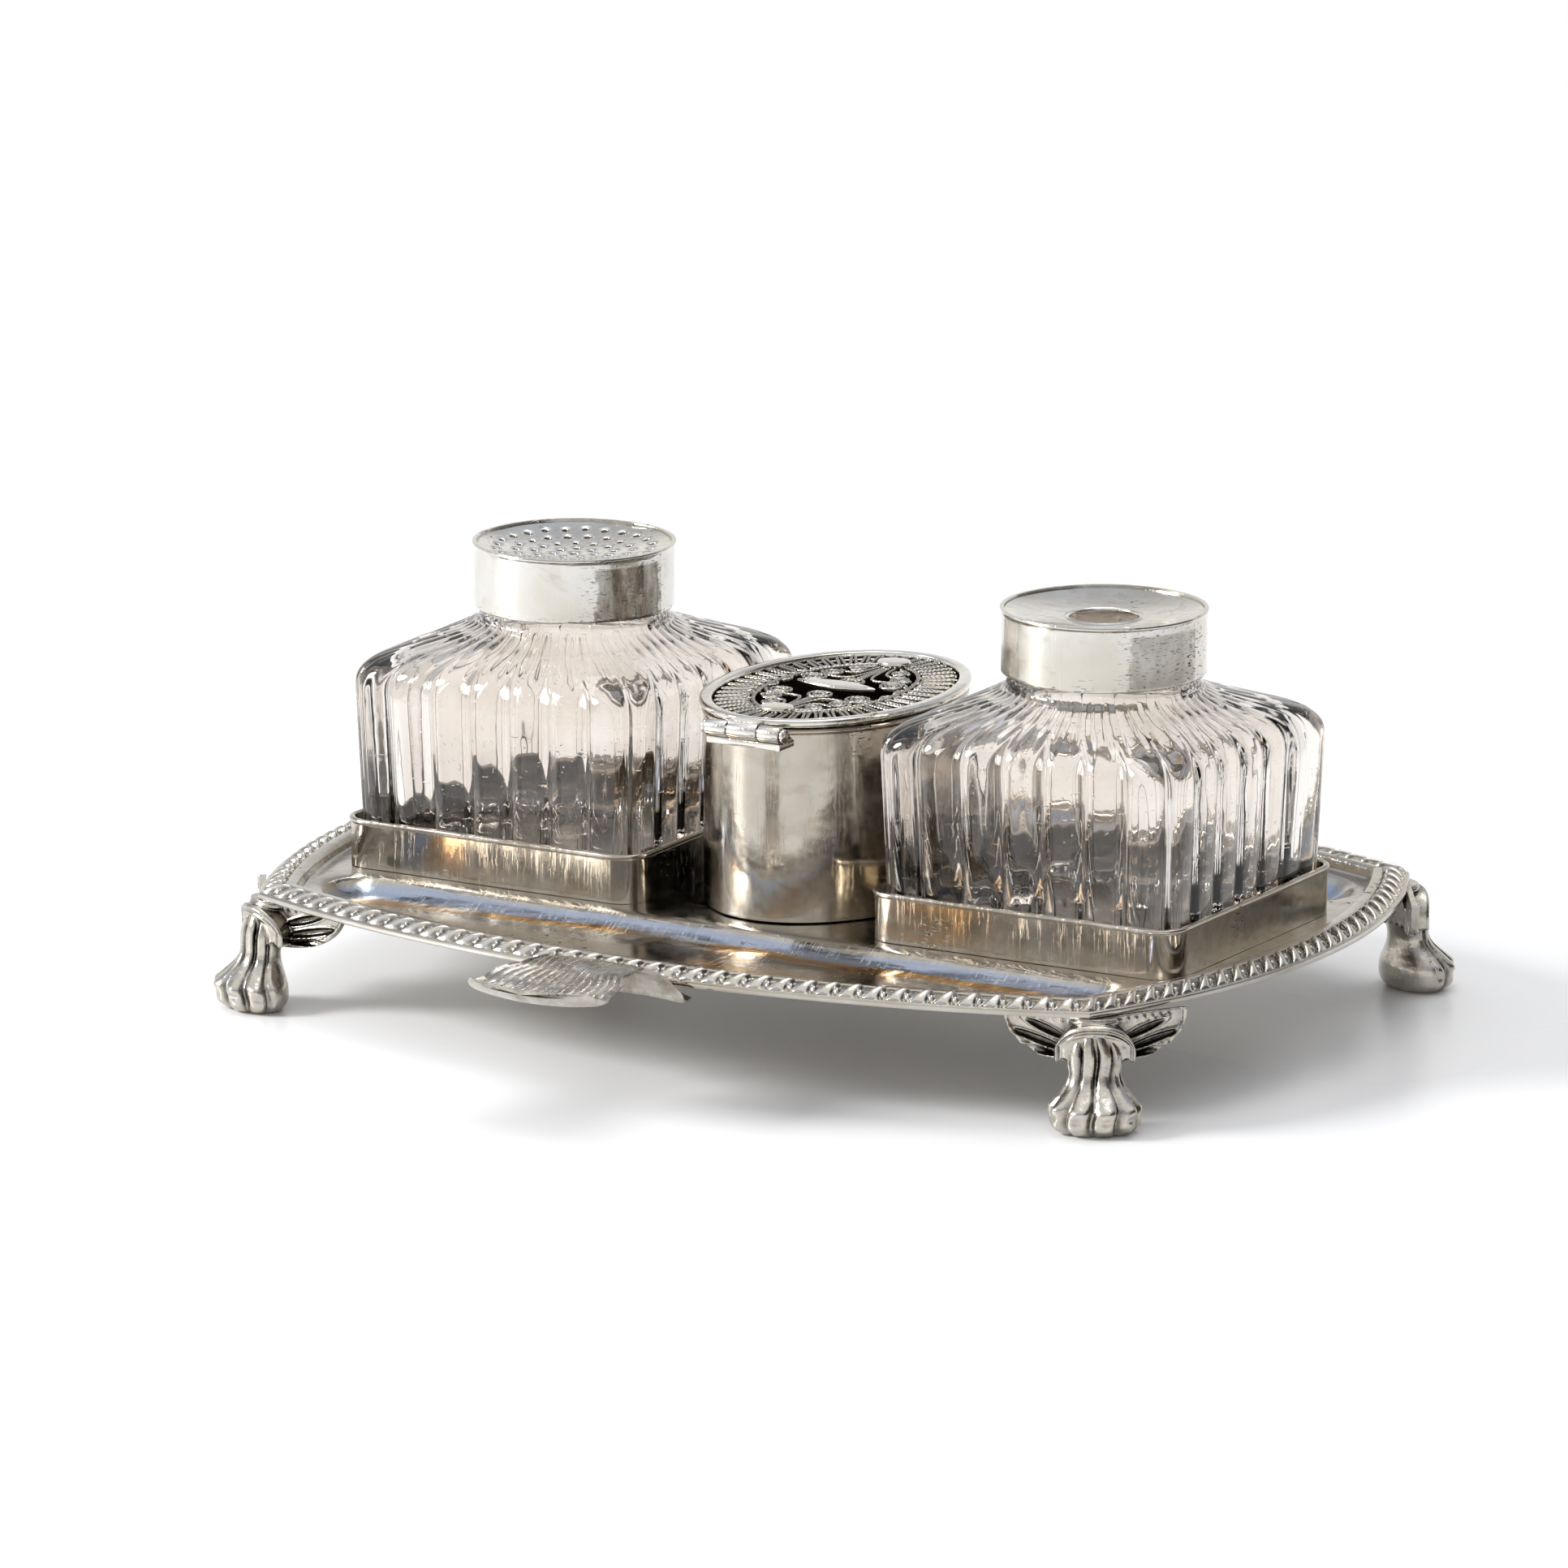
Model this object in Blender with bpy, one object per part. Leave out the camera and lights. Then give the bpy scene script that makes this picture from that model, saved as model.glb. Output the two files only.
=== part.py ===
"""Silver desk standish (inkstand).

A footed tray carries two square glass bottles in low gallery frames, a pounce
pot on the left and an ink pot on the right, each with a silver collar that
lifts off its neck. Between them stands an oval box whose filigree lid turns on
a hinge at the front. A leaf-shaped thumb piece grows out of the front rim.

Units are metres, +Z is up, +X runs to the right along the tray and -Y faces
the writer. The shapes are drawn about the middle of the tray; the empty
"standish" then moves everything back a little, so that the middle of the
overall footprint, leaf handle included, is the origin.
"""
import math

import bmesh
import bpy
from mathutils import Vector

# ---- Driving dimensions --------------------------------------------------
GAP = 0.0003              # clearance kept between pieces that touch

# Tray: four outward-bowed edges that meet at four sharp corners
CORNER_X = 0.0910
CORNER_Y = 0.0634
BOW_LONG = 0.0177         # bow of the front and back edges
BOW_END = 0.0157          # bow of the left and right edges
FLOOR_TOP = 0.0216
SHEET = 0.0007            # thickness of the tray's sheet
FLANGE_BOTTOM = 0.0214    # underside of the outer lip
FLANGE_TOP = 0.0219
RIM_TOP = 0.0238          # top of the plain step inside the gadroons
BORDER_WIDTH = 0.0050
STEP_WIDTH = 0.0015
LONG_SEGMENTS = 20
END_SEGMENTS = 14

# Pressed troughs along the front and the back of the tray
TROUGH_EDGE_Y = 0.0370    # straight side
TROUGH_INSET = 0.0111     # bowed side, measured in from the tray's edge
TROUGH_STRAIGHT = 0.0780  # half length of the straight side
TROUGH_DEPTH = 0.0034

# Gadrooned border strips
GADROON_TOP = 0.0243
GADROON_PITCH = 0.0047
GADROON_SLANT = 0.0012    # how far a lobe's inner end trails its outer end
MITRE_GAP = 0.0004

# Cast paw feet, one under each corner
FOOT_TOP = 0.0205
FOOT_FACING = math.radians(-61)    # the way the front right foot faces, from +X
WING_TURN = math.radians(61)       # between a wing and the foot's own line
WING_LENGTH = 0.0200
WING_HEIGHT = 0.0084
WING_THICKNESS = 0.0015
WING_INSET = 0.0012                # a wing's outer face, behind the corner
WING_SCALLOP = 0.0005              # depth of the notches along its lower edge
WING_STEPS = 9

# Leaf handle at the front
HANDLE_REACH = 0.0335     # from the rim's front edge to the leaf's tip
HANDLE_THICKNESS = 0.0011

# Galleries that hold the bottles
BOTTLE_X = 0.0585         # distance of each bottle's axis from the middle
GALLERY_HALF = 0.0330
GALLERY_RADIUS = 0.0055
GALLERY_WALL = 0.0008
GALLERY_HEIGHT = 0.0093

# Glass bottles
BOTTLE_HEIGHT = 0.0578
FLUTES = 28
NECK_RADIUS = 0.0186
NECK_BORE = 0.0148

# Caps
CAP_BOTTOM = 0.0710
CAP_TOP = 0.0835
COLLAR_RADIUS = 0.0195
COLLAR_WALL = 0.00055
DISH_RADIUS = 0.0186
DISH_SHEET = 0.0006
QUILL_HOLE_RADIUS = 0.0070
POUNCE_DEPTH = 0.0023
POUNCE_RINGS = ((1, 0.0), (7, 0.0040), (13, 0.0076), (18, 0.0113), (24, 0.0151))
POUNCE_HOLE_RADIUS = 0.0007
FUNNEL_DEPTH = 0.0018

# Oval box and lid
BOX_A = 0.0228            # half width along X
BOX_B = 0.0315            # half length along Y
BOX_WALL = 0.0008
BOX_TOP = 0.0598
LID_A = 0.0234
LID_B = 0.0328
LID_OPEN_A = 0.0199
LID_OPEN_B = 0.0297
LID_BOTTOM = 0.0601
LID_TOP = 0.0615
WIRE_BOTTOM = 0.0603
WIRE_TOP = 0.0610
PLAQUE_BOTTOM = 0.0613
PLAQUE_TOP = 0.0618
INNER_A = 0.0133          # oval wire that frames the scrollwork
INNER_B = 0.0225
BORDER_LOOPS = 26         # folds of the wire between the two

# Lid hinge
HINGE_Y = -0.0345
HINGE_Z = 0.0593
KNUCKLE_RADIUS = 0.0016
HINGE_HALF = 0.0080
MIDDLE_KNUCKLE_HALF = 0.0032
HINGE_BORE = 0.0009
PIN_RADIUS = 0.0006

HALF_DEPTH = CORNER_Y + BOW_LONG
STANDISH_SHIFT = HANDLE_REACH / 2

LONG_RADIUS = (CORNER_X ** 2 + BOW_LONG ** 2) / (2 * BOW_LONG)
END_RADIUS = (CORNER_Y ** 2 + BOW_END ** 2) / (2 * BOW_END)
LONG_CENTRE = LONG_RADIUS - HALF_DEPTH              # front edge's centre is at +Y
END_CENTRE = END_RADIUS - (CORNER_X + BOW_END)      # right edge's centre is at -X


# ---- Scene and object helpers -------------------------------------------
def clear_scene():
    for obj in list(bpy.data.objects):
        bpy.data.objects.remove(obj, do_unlink=True)


def make_material(name, colour, roughness, metallic, alpha=1.0):
    material = bpy.data.materials.new(name)
    material.use_nodes = True
    shader = material.node_tree.nodes["Principled BSDF"]
    shader.inputs["Base Color"].default_value = (*colour, 1.0)
    shader.inputs["Roughness"].default_value = roughness
    shader.inputs["Metallic"].default_value = metallic
    shader.inputs["Alpha"].default_value = alpha
    return material


def make_empty(name, parent=None, location=(0, 0, 0)):
    empty = bpy.data.objects.new(name, None)
    bpy.context.scene.collection.objects.link(empty)
    empty.parent = parent
    empty.location = location
    return empty


def make_mesh(name, shape):
    """Mesh from (vertices, faces) with every face turned outwards."""
    vertices, faces = shape
    mesh = bpy.data.meshes.new(name)
    mesh.from_pydata([tuple(v) for v in vertices], [], faces)
    work = bmesh.new()
    work.from_mesh(mesh)
    bmesh.ops.recalc_face_normals(work, faces=work.faces)
    work.to_mesh(mesh)
    work.free()
    return mesh


def make_object(name, shape, material, parent, location=(0, 0, 0), smooth_angle=35):
    """Makes a named object from (vertices, faces) and hangs it on its parent."""
    mesh = make_mesh(name, shape)
    mesh.materials.append(material)
    mesh.shade_smooth()
    mesh.set_sharp_from_angle(angle=math.radians(smooth_angle))
    obj = bpy.data.objects.new(name, mesh)
    bpy.context.scene.collection.objects.link(obj)
    obj.parent = parent
    obj.location = location
    return obj


def add_boolean(obj, shape, operation):
    """Unites obj with, or cuts it by, a hidden helper solid."""
    mesh = make_mesh(obj.name + "_cutter", shape)
    helper = bpy.data.objects.new(mesh.name, mesh)
    bpy.context.scene.collection.objects.link(helper)
    helper.parent = obj
    helper.hide_render = True
    helper.display_type = 'WIRE'
    modifier = obj.modifiers.new("boolean", 'BOOLEAN')
    modifier.operation = operation
    modifier.object = helper
    modifier.solver = 'EXACT'


# ---- Shape helpers -------------------------------------------------------
def loft(rings):
    """Solid through anticlockwise rings, bottom first, with a flat cap at each end.

    Rings may turn over a lip and run down again, which makes a cup.
    """
    count = len(rings[0])
    vertices = [point for ring in rings for point in ring]
    faces = [tuple(reversed(range(count)))]
    faces += side_faces(count, len(rings))
    last = (len(rings) - 1) * count
    faces.append(tuple(range(last, last + count)))
    return vertices, faces


def side_faces(count, ring_total):
    faces = []
    for ring in range(ring_total - 1):
        low = ring * count
        high = low + count
        for i in range(count):
            j = (i + 1) % count
            faces.append((low + i, low + j, high + j, high + i))
    return faces


def hoop(rings):
    """Closed ring whose section runs up the outside and down the inside."""
    count = len(rings[0])
    vertices = [point for ring in rings for point in ring]
    faces = side_faces(count, len(rings))
    last = (len(rings) - 1) * count
    for i in range(count):
        j = (i + 1) % count
        faces.append((last + i, last + j, j, i))
    return vertices, faces


def strip(sections):
    """Bar through sections of equal length, with a flat cap at each end."""
    count = len(sections[0])
    vertices = [point for section in sections for point in section]
    faces = [tuple(range(count))]
    for k in range(len(sections) - 1):
        near = k * count
        far = near + count
        for i in range(count):
            j = (i + 1) % count
            faces.append((near + i, far + i, far + j, near + j))
    last = (len(sections) - 1) * count
    faces.append(tuple(reversed(range(last, last + count))))
    return vertices, faces


def join(shapes):
    """One shape that holds several separate solids."""
    vertices, faces = [], []
    for shape_vertices, shape_faces in shapes:
        offset = len(vertices)
        vertices += shape_vertices
        faces += [tuple(i + offset for i in face) for face in shape_faces]
    return vertices, faces


def moved(shape, offset):
    vertices, faces = shape
    return [Vector(v) + Vector(offset) for v in vertices], faces


def ellipse(a, b, z, count=40):
    turn = 2 * math.pi / count
    return [Vector((a * math.cos(i * turn), b * math.sin(i * turn), z)) for i in range(count)]


def circle(radius, z, count=32):
    return ellipse(radius, radius, z, count)


def box(low, high):
    ring = [(low[0], low[1]), (high[0], low[1]), (high[0], high[1]), (low[0], high[1])]
    return loft([[Vector((x, y, z)) for x, y in ring] for z in (low[2], high[2])])


def rod_along_x(x_low, x_high, y, z, radius, count=16):
    turn = 2 * math.pi / count
    section = [(y + radius * math.cos(i * turn), z + radius * math.sin(i * turn)) for i in range(count)]
    return loft([[Vector((x, *point)) for point in section] for x in (x_low, x_high)])


def rounded_square(half_x, half_y, radius, count, z, flute_depth=0.0):
    """Points at even steps round a rounded rectangle; odd points are set back as flute valleys."""
    radius = min(radius, half_x, half_y)
    straight_x, straight_y, arc = half_x - radius, half_y - radius, radius * math.pi / 2
    total = 4 * (straight_x + straight_y + arc)
    ring = []
    for i in range(count):
        point, normal = rounded_square_point(straight_x, straight_y, radius, arc, total * i / count)
        depth = flute_depth if i % 2 == 0 else 0.0
        ring.append(Vector((*(point - normal * depth), z)))
    return ring


def rounded_square_point(straight_x, straight_y, radius, arc, distance):
    """Point and outward normal at a distance round the outline from the middle of its +X side."""
    corner_signs = ((1, 1), (-1, 1), (-1, -1), (1, -1))
    for quarter, (sign_x, sign_y) in enumerate(corner_signs):
        first, second = (straight_y, straight_x) if quarter % 2 == 0 else (straight_x, straight_y)
        start = Vector((math.cos(quarter * math.pi / 2), math.sin(quarter * math.pi / 2)))
        ahead = Vector((-start.y, start.x))
        corner = Vector((sign_x * straight_x, sign_y * straight_y))
        if distance <= first:
            return corner + start * radius - ahead * (first - distance), start
        distance -= first
        if distance <= arc:
            turn = distance / arc * math.pi / 2
            normal = start * math.cos(turn) + ahead * math.sin(turn)
            return corner + normal * radius, normal
        distance -= arc
        if distance <= second:
            return corner + ahead * radius - start * distance, ahead
        distance -= second
    return Vector((straight_x + radius, 0.0)), Vector((1.0, 0.0))


# ---- Tray ----------------------------------------------------------------
def corner_at(inset):
    """Corner (+X, -Y) of the tray's outline moved inwards by inset."""
    long_radius, end_radius = LONG_RADIUS - inset, END_RADIUS - inset
    long_centre = Vector((0.0, LONG_CENTRE))
    to_end = Vector((-END_CENTRE, 0.0)) - long_centre
    distance = to_end.length
    along = (long_radius ** 2 - end_radius ** 2 + distance ** 2) / (2 * distance)
    across = math.sqrt(long_radius ** 2 - along ** 2)
    unit = to_end / distance
    return long_centre + unit * along + Vector((-unit.y, unit.x)) * across


def edge_point(side, inset, share):
    """Point on one bowed edge; share runs from 0 to 1 anticlockwise between its corners."""
    corner = corner_at(inset)
    if side in ("front", "back"):
        radius = LONG_RADIUS - inset
        turn = math.asin(corner.x / radius) * (2 * share - 1)
        point = Vector((radius * math.sin(turn), LONG_CENTRE - radius * math.cos(turn)))
    else:
        radius = END_RADIUS - inset
        turn = math.asin(-corner.y / radius) * (2 * share - 1)
        point = Vector((radius * math.cos(turn) - END_CENTRE, radius * math.sin(turn)))
    return -point if side in ("back", "left") else point


def tray_ring(inset, z):
    ring = []
    for side, segments in (("front", LONG_SEGMENTS), ("right", END_SEGMENTS),
                           ("back", LONG_SEGMENTS), ("left", END_SEGMENTS)):
        ring += [Vector((*edge_point(side, inset, i / segments), z)) for i in range(segments)]
    return ring


def trough_ring(inset, z, back):
    """Outline of a trough: straight side, half-oval ends and a side bowed like the tray's edge."""
    straight_y = -TROUGH_EDGE_Y - inset
    radius = LONG_RADIUS - TROUGH_INSET - inset
    bowed = [(x, LONG_CENTRE - math.sqrt(radius ** 2 - x ** 2))
             for x in (TROUGH_STRAIGHT * (i / 8 - 1) for i in range(17))]
    end_y = (bowed[-1][1] + straight_y) / 2
    half_y = (straight_y - bowed[-1][1]) / 2
    half_x = 0.0090 - inset
    turns = [math.pi * (i / 8 - 0.5) for i in range(1, 9)]
    right = [(TROUGH_STRAIGHT + half_x * math.cos(t), end_y + half_y * math.sin(t)) for t in turns]
    left = [(-x, y) for x, y in reversed(right)]
    ring = bowed + right + left[:-1]
    left_end = (-TROUGH_STRAIGHT - half_x * math.cos(turns[0]), end_y + half_y * math.sin(turns[0]))
    ring.append(left_end)
    sign = -1 if back else 1
    return [Vector((sign * x, sign * y, z)) for x, y in ring]


def trough_shape(back, outset, top):
    """Pan of a trough; outset grows it by the sheet's thickness."""
    floor = FLOOR_TOP - TROUGH_DEPTH - outset
    levels = ((0.0070, floor), (0.0035, floor + 0.0006), (0.0012, floor + 0.0022),
              (0.0, FLOOR_TOP - outset), (0.0, top))
    return loft([trough_ring(inset - outset, z, back) for inset, z in levels])


def make_tray(material, parent):
    step_outer = BORDER_WIDTH + GAP
    step_inner = step_outer + STEP_WIDTH
    floor_bottom = FLOOR_TOP - SHEET
    rings = [tray_ring(step_inner + 0.0010, floor_bottom),
             tray_ring(step_outer, FLANGE_BOTTOM - 0.0001),
             tray_ring(0.0, FLANGE_BOTTOM),
             tray_ring(0.0, FLANGE_TOP),
             tray_ring(step_outer, FLANGE_TOP),
             tray_ring(step_outer, RIM_TOP),
             tray_ring(step_inner, RIM_TOP),
             tray_ring(step_inner + 0.0006, FLOOR_TOP)]
    tray = make_object("tray_plate", loft(rings), material, parent)
    for back in (False, True):
        add_boolean(tray, trough_shape(back, SHEET, FLOOR_TOP - SHEET / 2), 'UNION')
    for back in (False, True):
        add_boolean(tray, trough_shape(back, 0.0, FLOOR_TOP + 0.001), 'DIFFERENCE')


def make_border(side, material, parent):
    """Gadrooned strip along one edge: slanted lobes between mitred ends."""
    length = LONG_RADIUS * 2 * math.asin(CORNER_X / LONG_RADIUS)
    if side in ("left", "right"):
        length = END_RADIUS * 2 * math.asin(CORNER_Y / END_RADIUS)
    lobes = round(length / GADROON_PITCH)
    margin = MITRE_GAP / length
    slant = GADROON_SLANT / length
    bottom = FLANGE_TOP + GAP
    sections = []
    for i in range(2 * lobes + 1):
        share = margin + (1 - 2 * margin) * i / (2 * lobes)
        crest = i % 2
        height = 0.0 if crest else -0.0007
        trail = slant * math.sin(math.pi * i / (2 * lobes))
        sections.append([
            Vector((*edge_point(side, BORDER_WIDTH, share), bottom)),
            Vector((*edge_point(side, BORDER_WIDTH - 0.0006, share - trail), GADROON_TOP + height)),
            Vector((*edge_point(side, 0.0016, share), bottom + 0.0014 + height)),
            Vector((*edge_point(side, 0.0006, share + trail / 2), bottom))])
    make_object("border_" + side, strip(sections), material, parent, smooth_angle=60)


# ---- Feet ----------------------------------------------------------------
# Sections of a leg from the floor up: height, rearmost, foremost, half width.
# Distances run from the tray's corner along the way the foot faces.
LEG_SECTIONS = ((0.0000, -0.0054, 0.0050, 0.0072),
                (0.0022, -0.0062, 0.0064, 0.0085),
                (0.0050, -0.0060, 0.0070, 0.0087),
                (0.0075, -0.0056, 0.0060, 0.0076),
                (0.0092, -0.0054, 0.0036, 0.0062),
                (0.0112, -0.0052, 0.0012, 0.0049),
                (0.0132, -0.0056, 0.0002, 0.0051),
                (0.0165, -0.0075, 0.0003, 0.0066),
                (0.0190, -0.0090, 0.0000, 0.0072),
                (FOOT_TOP, -0.0095, -0.0008, 0.0070))
LEG_POINTS = 20


def corner_frame():
    """Corner (+X, -Y), and the unit directions that a foot there faces and spreads along."""
    outwards = Vector((math.cos(FOOT_FACING), math.sin(FOOT_FACING)))
    return corner_at(0.0), outwards, Vector((-outwards.y, outwards.x))


def leg_ring(height, rear, front, half_width):
    corner, outwards, sideways = corner_frame()
    middle, reach = (rear + front) / 2, (front - rear) / 2
    toe_depth = 0.07 * max(0.0, 1 - height / 0.009)
    ring = []
    for i in range(LEG_POINTS):
        turn = 2 * math.pi * i / LEG_POINTS
        toes = 1.0
        if math.cos(turn) > 0.3:
            toes = 1 - toe_depth * (i % 2)
        point = (corner + outwards * (middle + reach * toes * math.cos(turn))
                 + sideways * (half_width * toes * math.sin(turn)))
        ring.append(Vector((*point, height)))
    return ring


def wing_shape(hand):
    """Shell-shaped wing that stands out straight from the knee, on its left (-1) or right (1)."""
    corner, outwards, sideways = corner_frame()
    along = sideways * hand * math.sin(WING_TURN) - outwards * math.cos(WING_TURN)
    faces = sideways * hand * math.cos(WING_TURN) + outwards * math.sin(WING_TURN)
    sections = []
    for i in range(WING_STEPS + 1):
        distance = WING_LENGTH * i / WING_STEPS
        drop = WING_HEIGHT * (1 - (0.98 * i / WING_STEPS) ** 4) ** 0.58
        drop -= WING_SCALLOP * (i % 2)
        outer = corner + along * distance - faces * WING_INSET
        inner = outer - faces * WING_THICKNESS
        sections.append([
            Vector((inner.x, inner.y, FOOT_TOP)),
            Vector((outer.x, outer.y, FOOT_TOP)),
            Vector((outer.x, outer.y, FOOT_TOP - drop)),
            Vector((inner.x, inner.y, FOOT_TOP - drop))])
    return strip(sections)


def mirrored(shape, flip_x, flip_y):
    """Shape reflected in X, Y or both."""
    vertices, faces = shape
    sign_x, sign_y = (-1 if flip_x else 1), (-1 if flip_y else 1)
    return [Vector((v.x * sign_x, v.y * sign_y, v.z)) for v in vertices], faces


def make_foot(name, flip_x, flip_y, material, parent):
    leg = loft([leg_ring(*section) for section in LEG_SECTIONS])
    foot = make_object(name, mirrored(leg, flip_x, flip_y), material, parent, smooth_angle=50)
    for hand in (-1, 1):
        add_boolean(foot, mirrored(wing_shape(hand), flip_x, flip_y), 'UNION')


# ---- Leaf handle ---------------------------------------------------------
# Centre line of the leaf: distance in front of the rim, height, half width.
LEAF_LINE = ((-0.0030, 0.0199, 0.0150),
             (0.0005, 0.0201, 0.0155),
             (0.0030, 0.0238, 0.0130),
             (0.0070, 0.0262, 0.0108),
             (0.0120, 0.0266, 0.0104),
             (0.0170, 0.0260, 0.0118),
             (0.0220, 0.0246, 0.0136),
             (0.0270, 0.0239, 0.0145),
             (0.0310, 0.0243, 0.0142),
             (HANDLE_REACH, 0.0256, 0.0130))


def make_handle(material, parent):
    """Leaf that leaves the underside of the rim, arches over and turns up at its tip."""
    sections = []
    shares = (-1.0, -0.5, 0.0, 0.5, 1.0)
    for index, (distance, height, half_width) in enumerate(LEAF_LINE):
        serration = 0.0006 if index % 2 else 0.0
        dish = 0.0012 if distance > 0.015 else 0.0003
        y = -HALF_DEPTH - distance
        top = [Vector((share * (half_width - serration), y, height + dish * share ** 2))
               for share in shares]
        bottom = [point - Vector((0.0, 0.0, HANDLE_THICKNESS)) for point in reversed(top)]
        sections.append(bottom + top)
    make_object("leaf_handle", strip(sections), material, parent, smooth_angle=50)


# ---- Galleries and bottles ----------------------------------------------
def make_gallery(name, material, parent, x):
    bottom = FLOOR_TOP + GAP
    top = bottom + GALLERY_HEIGHT
    bead = 0.0003

    def ring(grow, z):
        return rounded_square(GALLERY_HALF + grow, GALLERY_HALF + grow, GALLERY_RADIUS + grow, 40, z)

    rings = [ring(0.0, bottom), ring(0.0, top - 0.0010), ring(bead, top - 0.0007),
             ring(bead, top - 0.0002), ring(-GALLERY_WALL, top), ring(-GALLERY_WALL, bottom)]
    make_object(name, hoop(rings), material, parent, location=(x, 0, 0))


def bottle_rings():
    """Rings up the fluted outside, over the lip and down the smooth inside of a bottle."""
    count = 2 * FLUTES
    # Height above the base, half width, corner radius and flute depth of each ring
    outside = ((0.0000, 0.0298, 0.0050, 0.0000),
               (0.0014, 0.0311, 0.0056, 0.0006),
               (0.0060, 0.0314, 0.0058, 0.0011),
               (0.0330, 0.0323, 0.0060, 0.0011),
               (0.0375, 0.0325, 0.0065, 0.0010),
               (0.0400, 0.0316, 0.0075, 0.0008),
               (0.0420, 0.0282, 0.0110, 0.0004),
               (0.0442, 0.0232, 0.0160, 0.0003),
               (0.0468, NECK_RADIUS, NECK_RADIUS, 0.0000),
               (BOTTLE_HEIGHT - 0.0005, NECK_RADIUS, NECK_RADIUS, 0.0000),
               (BOTTLE_HEIGHT, NECK_RADIUS - 0.0006, NECK_RADIUS, 0.0000))
    inside = ((BOTTLE_HEIGHT, NECK_BORE, NECK_BORE, 0.0),
              (0.0440, NECK_BORE, NECK_BORE, 0.0),
              (0.0400, 0.0220, 0.0150, 0.0),
              (0.0360, 0.0262, 0.0080, 0.0),
              (0.0125, 0.0256, 0.0080, 0.0),
              (0.0100, 0.0236, 0.0080, 0.0))
    return [rounded_square(half, half, radius, count, z, depth)
            for z, half, radius, depth in outside + inside]


def make_bottle(name, material, parent):
    make_object(name, loft(bottle_rings()), material, parent,
                location=(0, 0, FLOOR_TOP + GAP), smooth_angle=50)


# ---- Caps ----------------------------------------------------------------
def make_collar(name, material, parent):
    inner = COLLAR_RADIUS - COLLAR_WALL
    rings = [circle(COLLAR_RADIUS, CAP_BOTTOM), circle(COLLAR_RADIUS, CAP_TOP - 0.0007),
             circle(COLLAR_RADIUS + 0.0003, CAP_TOP - 0.0003), circle(COLLAR_RADIUS, CAP_TOP),
             circle(inner, CAP_TOP - 0.0001), circle(inner, CAP_BOTTOM)]
    make_object(name, hoop(rings), material, parent)


def dish_height(radius, depth):
    return CAP_TOP - 0.0005 - depth * (1 - (radius / DISH_RADIUS) ** 2)


def make_pounce_dish(material, parent):
    """Shallow bowl pierced with rings of small sand holes."""
    radii = (DISH_RADIUS, 0.0126, 0.0062)
    under = [circle(r, dish_height(r, POUNCE_DEPTH) - DISH_SHEET) for r in reversed(radii)]
    over = [circle(r, dish_height(r, POUNCE_DEPTH)) for r in radii]
    dish = make_object("pounce_dish", loft(under + over), material, parent)
    drills = []
    for count, ring_radius in POUNCE_RINGS:
        for i in range(count):
            turn = 2 * math.pi * i / count
            place = (ring_radius * math.cos(turn), ring_radius * math.sin(turn), 0)
            rod = loft([circle(POUNCE_HOLE_RADIUS, z, 6) for z in (CAP_BOTTOM, CAP_TOP + 0.001)])
            drills.append(moved(rod, place))
    add_boolean(dish, join(drills), 'DIFFERENCE')


def make_ink_dish(material, parent):
    """Funnel-shaped bowl with a round hole for the quill."""
    radii = (DISH_RADIUS, 0.0145, 0.0105, QUILL_HOLE_RADIUS)
    under = [circle(r, dish_height(r, FUNNEL_DEPTH) - DISH_SHEET) for r in reversed(radii)]
    over = [circle(r, dish_height(r, FUNNEL_DEPTH)) for r in radii]
    make_object("ink_dish", hoop(under + over), material, parent)


# ---- Oval box, lid and hinge --------------------------------------------
def make_box(material, parent):
    bottom = FLOOR_TOP + GAP
    inner_a, inner_b = BOX_A - BOX_WALL, BOX_B - BOX_WALL
    wall = [ellipse(BOX_A, BOX_B, bottom), ellipse(BOX_A, BOX_B, BOX_TOP),
            ellipse(inner_a, inner_b, BOX_TOP), ellipse(inner_a, inner_b, bottom)]
    make_object("box_wall", hoop(wall), material, parent)
    floor_a, floor_b = inner_a - GAP, inner_b - GAP
    floor = [ellipse(floor_a, floor_b, bottom + GAP), ellipse(floor_a, floor_b, bottom + GAP + 0.0008)]
    make_object("box_floor", loft(floor), material, parent)


def flat_bar(points, half_width, low, high):
    """Bar of oblong section laid along a list of points in plan."""
    sections = []
    for i, point in enumerate(points):
        before, after = points[max(i - 1, 0)], points[min(i + 1, len(points) - 1)]
        ahead = (Vector(after) - Vector(before)).normalized()
        side = Vector((-ahead.y, ahead.x)) * half_width
        left, right = Vector(point) + side, Vector(point) - side
        sections.append([Vector((*left, low)), Vector((*right, low)),
                         Vector((*right, high)), Vector((*left, high))])
    return strip(sections)


def flat_ring(x, y, a, b, width, low, high, count):
    rings = [ellipse(a, b, low, count), ellipse(a, b, high, count),
             ellipse(a - width, b - width, high, count), ellipse(a - width, b - width, low, count)]
    return moved(hoop(rings), (x, y, 0))


def make_lid_ring(material, parent, location):
    rings = [ellipse(LID_A - 0.0004, LID_B - 0.0004, LID_BOTTOM),
             ellipse(LID_A, LID_B, LID_BOTTOM + 0.0004),
             ellipse(LID_A, LID_B, LID_TOP - 0.0004),
             ellipse(LID_A - 0.0006, LID_B - 0.0006, LID_TOP),
             ellipse(LID_OPEN_A + 0.0003, LID_OPEN_B + 0.0003, LID_TOP),
             ellipse(LID_OPEN_A, LID_OPEN_B, LID_BOTTOM)]
    make_object("lid_ring", hoop(rings), material, parent, location)


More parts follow.
